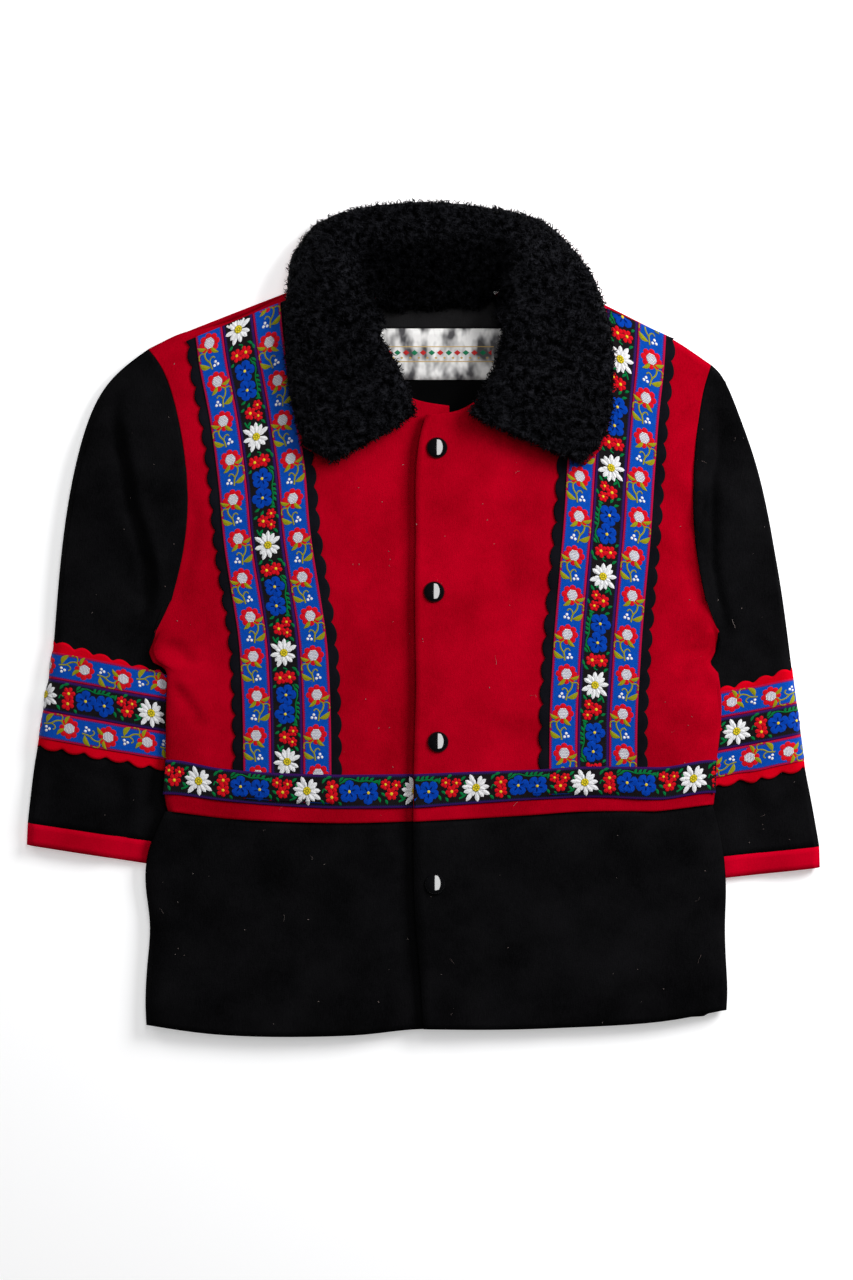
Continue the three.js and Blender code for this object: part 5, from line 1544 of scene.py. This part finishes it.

# %% [markdown]
# ## Inside the neck
#
# Where the collar is open, the inside of the back shows: a black lining, a dark tape over the seam, and a
# satin label. The label's place is kept, its satin is wrinkled as thin cloth is, with painted reflections
# of the wrinkles in its colour, and it has a plain border of small lozenges between two lines, without
# any lettering.

# %% Lining, tape and label
TAPE = wool("tape_cloth", (0.0050, 0.0048, 0.0052), (0.0170, 0.0166, 0.0176), fibre=0.8, relief=1.0,
            Roughness=0.8, Specular_IOR_Level=0.1)


def build_satin():
    """Silvery satin with fine ribs across it, its colour brighter and darker where it is wrinkled: painted
    reflections of its wrinkles.
    """
    material, tree, shader = new_material("label_satin", Roughness=0.38, Specular_IOR_Level=0.5)
    at = object_coordinates(tree)
    wrinkles_and_reflections = noise_node(tree, stretched(tree, at, (110.0, 62.0, 60.0)), 1.0, 2.0, 0.5)
    # Painted reflections: the stretched wrinkle noise swings the satin's colour from dark grey to near white,
    # as light mirrored in its wrinkles would.
    shade = math_node(tree, "MULTIPLY_ADD", wrinkles_and_reflections, 4.2, -1.55)
    paint(tree, shader, shade, (0.075, 0.073, 0.078), (0.80, 0.79, 0.78))
    group = add_node(tree, "ShaderNodeGroup", node_tree=WEAVE_GROUP)
    tree.links.new(at, group.inputs["Coordinates"])
    bump(tree, shader, math_node(tree, "MULTIPLY_ADD", group.outputs["Height"], 0.1, wrinkles_and_reflections), 0.8, 1.2 * MM)
    return material


SATIN = build_satin()
NECK = {
    "neck_lining": rounded("neck_lining", "neck_lining_cloth", LINING, 2),
    "neck_tape": rounded("neck_tape", "neck_tape_cloth", TAPE, 3),
    "neck_label": rounded("neck_label", "neck_label_cloth", SATIN, 3),
}
# The lining reaches under the collar, and the label is a thin wrinkled layer that lies loose on it.
LINING_WIDER = 1.14
LABEL_LOOSE = 0.35 * MM
points = places(NECK["neck_lining"].data)
points[:, :2] = NECK_MIDDLE + (points[:, :2] - NECK_MIDDLE) * LINING_WIDER
move_to(NECK["neck_lining"].data, points)
points = places(NECK["neck_label"].data)
points[:, 2] += LABEL_LOOSE + waviness(points, size=14 * MM, amount=0.5 * MM, seed=21.0)
move_to(NECK["neck_label"].data, points)
for node, made in NECK.items():
    print(node, len(made.data.polygons), "faces")

# %% Border woven on the label
GOLD = (0.62, 0.42, 0.13)
DEEP_RED = (0.55, 0.03, 0.03)
DEEP_GREEN = (0.02, 0.22, 0.10)
BORDER_REPEAT = 12 * MM
BORDER_ACROSS = np.linspace(-8, 8, 5) * MM
BORDER_INSET = 8 * MM


def lozenge(middle, half, colour):
    """A low pyramid on a diamond, lying on the label."""
    x, y = middle
    tall = 0.8 * half
    points = [(x - half, y, HEM), (x, y - tall, HEM), (x + half, y, HEM), (x, y + tall, HEM), (x, y, 0.14)]
    return (points, [(0, 1, 4), (1, 2, 4), (2, 3, 4), (3, 0, 4)]), colour, 0.0


border = [(stem([(0, y), (6, y), (12, y)], 0.6, 0.12), GOLD, 0.0) for y in (-5.2, 5.2)]
border += [lozenge((3, 1), 2.4, DEEP_RED), lozenge((9, 1), 2.4, DEEP_GREEN),
           lozenge((6, -2.6), 1.1, GOLD), lozenge((0, -2.6), 1.1, GOLD)]
BORDER = motif_object("border", placed(border, 0, 0))
low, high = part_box("neck_label")
middle = (low.y + high.y) / 2
grid = np.array([[(x, middle + y, high.z) for y in BORDER_ACROSS]
                 for x in np.linspace(low.x + BORDER_INSET, high.x - BORDER_INSET, 30)])
grid = dropped(grid, surface(NECK["neck_label"]), 0.02 * MM, reach=0)
sheet = new_object("sheet", sheet_mesh("sheet", grid, BORDER_ACROSS), SILK)
LABEL_BORDER = grown(sheet, WEAVING, "label_border", SILK, Motif=BORDER, Repeat=BORDER_REPEAT, First=0.0,
                     Count=9, Silk=SILK)
bpy.data.objects.remove(BORDER)

# %% [markdown]
# ## Snaps
#
# Four press studs with black glossy caps close the front. A cap is turned: a low dome with a rolled rim.
# Its gloss is what is seen of it, so its profile has to be smooth, which the CAD solid's isn't.

# %% Gloss and metal
def grained(name, scale, detail, dark, light, **sockets):
    """A material whose colour wanders between two with a fine noise."""
    material, tree, shader = new_material(name, **sockets)
    paint(tree, shader, noise_node(tree, object_coordinates(tree), scale, detail), dark, light)
    return material


GLOSS = grained("snap_gloss_black", 700.0, 2.0, (0.0005, 0.0005, 0.0006), (0.0020, 0.0020, 0.0023),
                Roughness=0.10, Specular_IOR_Level=0.15, Coat_Weight=1.0, Coat_Roughness=0.03)
METAL = grained("snap_brushed_metal", 1500.0, 2.0, (0.30, 0.30, 0.31), (0.62, 0.62, 0.64),
                Metallic=1.0, Roughness=0.35)

# %% Turned caps and their sockets
# Points round a cap.
SIDES = 48
# Radius and height of the cap's outline from its top to its middle underneath, in mm.
CAP_PROFILE = [(0, 3.2), (1.5, 3.17), (3, 3.03), (4.4, 2.72), (5.6, 2.24), (6.5, 1.64), (7.1, 1.0),
               (7.4, 0.5), (7.35, 0.15), (7.0, 0.0), (3.5, 0.0), (0, 0.0)]


def turned(name, centre, base, profile, material):
    """A closed shape turned round an upright axis, from its top to its base."""
    points, faces = [], []
    for radius, height in profile[1:-1]:
        for i in range(SIDES):
            turn = math.tau * i / SIDES
            points.append((centre.x + radius * MM * math.cos(turn), centre.y + radius * MM * math.sin(turn),
                           base + height * MM))
    for r in range(len(profile) - 3):
        for i in range(SIDES):
            j = (i + 1) % SIDES
            faces.append((r * SIDES + i, (r + 1) * SIDES + i, (r + 1) * SIDES + j, r * SIDES + j))
    top, foot = len(points), len(points) + 1
    points += [(centre.x, centre.y, base + height * MM) for _, height in (profile[0], profile[-1])]
    last = (len(profile) - 3) * SIDES
    for i in range(SIDES):
        j = (i + 1) % SIDES
        faces += [(top, i, j), (foot, last + j, last + i)]
    return new_object(name, plain_mesh(name, points, faces), material)


CAPS = {}
for i, place in enumerate(SNAP_PLACES, 1):
    CAPS[f"snap_cap_{i}"] = turned(f"cap_{i}", place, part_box(f"snap_cap_{i}")[0].z, CAP_PROFILE, GLOSS)
    NODES[f"snap_socket_{i}"].material_slots[0].material = METAL
print("caps:", len(CAPS))

# %% [markdown]
# ## Lint
#
# Felted wool sheds and gathers fibres. A few pale ones lie on the fronts and the sleeves, at random.

# %% Loose fibres on the cloth
LINT = grained("lint_fibre", 60.0, 1.0, (0.10, 0.04, 0.04), (0.36, 0.33, 0.31), Roughness=0.8)
FIBRE = twist("fibre", 7 * MM, 0.22 * MM, 2.4 * MM, 0.35, 7, 0.6)
SPECK = twist("speck", 0.9 * MM, 0.42 * MM, 0.2 * MM, 0.3, 3, 0.8)
# Each shape with how many lie on a square metre, how far they lean from upright, and a seed.
LINT_SHAPES = ((FIBRE, 140.0, 1.5, 3), (SPECK, 700.0, 1.4, 8))
LINT_PIECES = {}
for node in ("front_upper_r", "front_upper_l", "front_lower_r", "front_lower_l", "sleeve_r", "sleeve_l"):
    LINT_PIECES[node] = [
        grown(copy_of(PANELS[node]), SCATTER, f"{shape.name}s_{node}", LINT, Shape=shape, Density=density,
              Facing=0.8, Lean=lean, Smallest=0.5, Largest=1.2, Seed=seed, Finish=LINT)
        for shape, density, lean, seed in LINT_SHAPES
    ]
bpy.data.objects.remove(FIBRE)
bpy.data.objects.remove(SPECK)
print("lint:", sum(len(m.data.polygons) for made in LINT_PIECES.values() for m in made), "faces")

# %% [markdown]
# ## Which piece stands for which solid
#
# Every piece rides on the jacket's one body. A cloth piece replaces its CAD node, which stays hidden for
# collision. Flowers, locks and lint are extra pieces that go with a cloth.

# %% Ride and replace
def above_floor(piece):
    """Lifts the few points that reach below the floor back on to it."""
    points = places(piece.data)
    points[:, 2] = np.maximum(points[:, 2], 0.0)
    move_to(piece.data, points)


def settle(piece, slot, *nodes):
    """Makes a piece ride on the jacket, in place of some CAD nodes. The slot is not used."""
    above_floor(piece)
    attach(piece, "root")
    if nodes:
        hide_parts(*nodes)


SLOTS = {"front_upper": "red_wool", "back_upper": "red_wool", "front_lower": "black_wool",
         "back_lower": "black_wool", "sleeve": "black_wool", "cuff": "red_wool"}
for node, piece in PANELS.items():
    settle(piece, next(slot for start, slot in SLOTS.items() if node.startswith(start)), node)
for node, piece in FELTS.items():
    settle(piece, "red_felt" if node.startswith("sleeve") else "black_felt", node)
for node, record in RIBBONS.items():
    slot = "blue_ribbon" if record["kind"] == "blue" else "dark_ribbon"
    settle(record["piece"], slot, node)
    settle(FLOWERS[node], slot)
for node, (base, locks) in COLLAR.items():
    settle(base, "fur", node)
    settle(locks, "fur")
settle(UNDER_COLLAR, "red_wool", "collar_under")
for node, slot in (("neck_lining", "lining"), ("neck_tape", "tape"), ("neck_label", "label")):
    settle(NECK[node], slot, node)
settle(LABEL_BORDER, "label")
for node, piece in CAPS.items():
    settle(piece, "snap_gloss", node)
for node, pieces in LINT_PIECES.items():
    for piece in pieces:
        settle(piece, "black_wool" if "lower" in node or "sleeve" in node else "red_wool")

# %% [markdown]
# ## Lengths of the ribbons
#
# A sheet of cloth has a flat size from before it was sewn. Here only the ribbons are measured: each one's
# length along its middle, and the part it lies on, which nothing else uses.


# %% Lengths of the ribbons
for node, record in RIBBONS.items():
    length = distances(record["grid"])[-1]
    under = node.split("_")[0]

# %% [markdown]
# ## Floor and light
#
# The jacket lies on a white paper floor. Its shadow is kept light by letting the paper glow a little, as
# a lit background does. One tall softbox from the upper right is the key: it draws the folds and the dark
# line beside the front edge. Weaker ones above and from the left soften its shadows, and a faint white
# surrounding fills the rest. None of these shows in shiny things. The bright bar on each snap comes from
# a long card of light overhead that only the caps mirror.

# %% Floor
# Half of the floor's side, and how far it lies under the jacket, so that the two never share a plane.
FLOOR_HALF = 15.0
FLOOR_DROP = 0.2 * MM
FLOOR, _, _ = new_material("paper_floor", Roughness=0.9, Specular_IOR_Level=0.1,
                           Base_Color=rgb(0.86, 0.86, 0.87), Emission_Color=rgb(1, 1, 1),
                           Emission_Strength=0.41)
corners = [(x * FLOOR_HALF, y * FLOOR_HALF, -FLOOR_DROP) for x, y in ((-1, -1), (1, -1), (1, 1), (-1, 1))]
new_object("floor", plain_mesh("floor", corners, [(0, 1, 2, 3)]), FLOOR)
print("floor:", 2 * FLOOR_HALF, "m wide")

# %% Lights
def softbox(name, place, aim, width, height, power):
    """A rectangular light that looks at a point, its height along Y, which shiny things don't mirror."""
    light = bpy.data.lights.new(name, "AREA")
    light.shape = "RECTANGLE"
    light.size, light.size_y, light.energy = width, height, power
    made = linked(name, light)
    back = (Vector(place) - Vector(aim)).normalized()
    aside = Vector((0, 1, 0)).cross(back).normalized()
    turned_to = Matrix((aside, back.cross(aside), back)).transposed()
    made.matrix_world = Matrix.Translation(place) @ turned_to.to_4x4()
    made.visible_camera = False
    made.visible_glossy = False
    return made


# Name, place, the point it looks at, width and height in metres, power in watts.
softbox("key", (0.85, 0.55, 0.68), (0, 0, 0), 0.5, 0.7, 18.5)
softbox("left", (-1.0, 0.95, 0.75), (-0.15, 0, 0), 0.6, 0.6, 4)
softbox("top", (0.24, 0.70, 1.55), (0, 0, 0), 0.5, 1.3, 8)
softbox("fill", (-1.2, 0.3, 1.6), (0, 0, 0), 1.2, 1.2, 2)
card = softbox("card", (0.34, 0.28, 1.2), (0.34, 0, 0), 0.70, 3.2, 84)
card.visible_glossy = True
card.light_linking.receiver_collection = bpy.data.collections.new("mirrors")
for piece in CAPS.values():
    card.light_linking.receiver_collection.objects.link(piece)
world = bpy.data.worlds.new("studio")
bpy.context.scene.world = world
world.use_nodes = True
background = world.node_tree.nodes["Background"]
background.inputs["Color"].default_value = rgb(1, 1, 1)
background.inputs["Strength"].default_value = 0.10
world.cycles_visibility.glossy = False
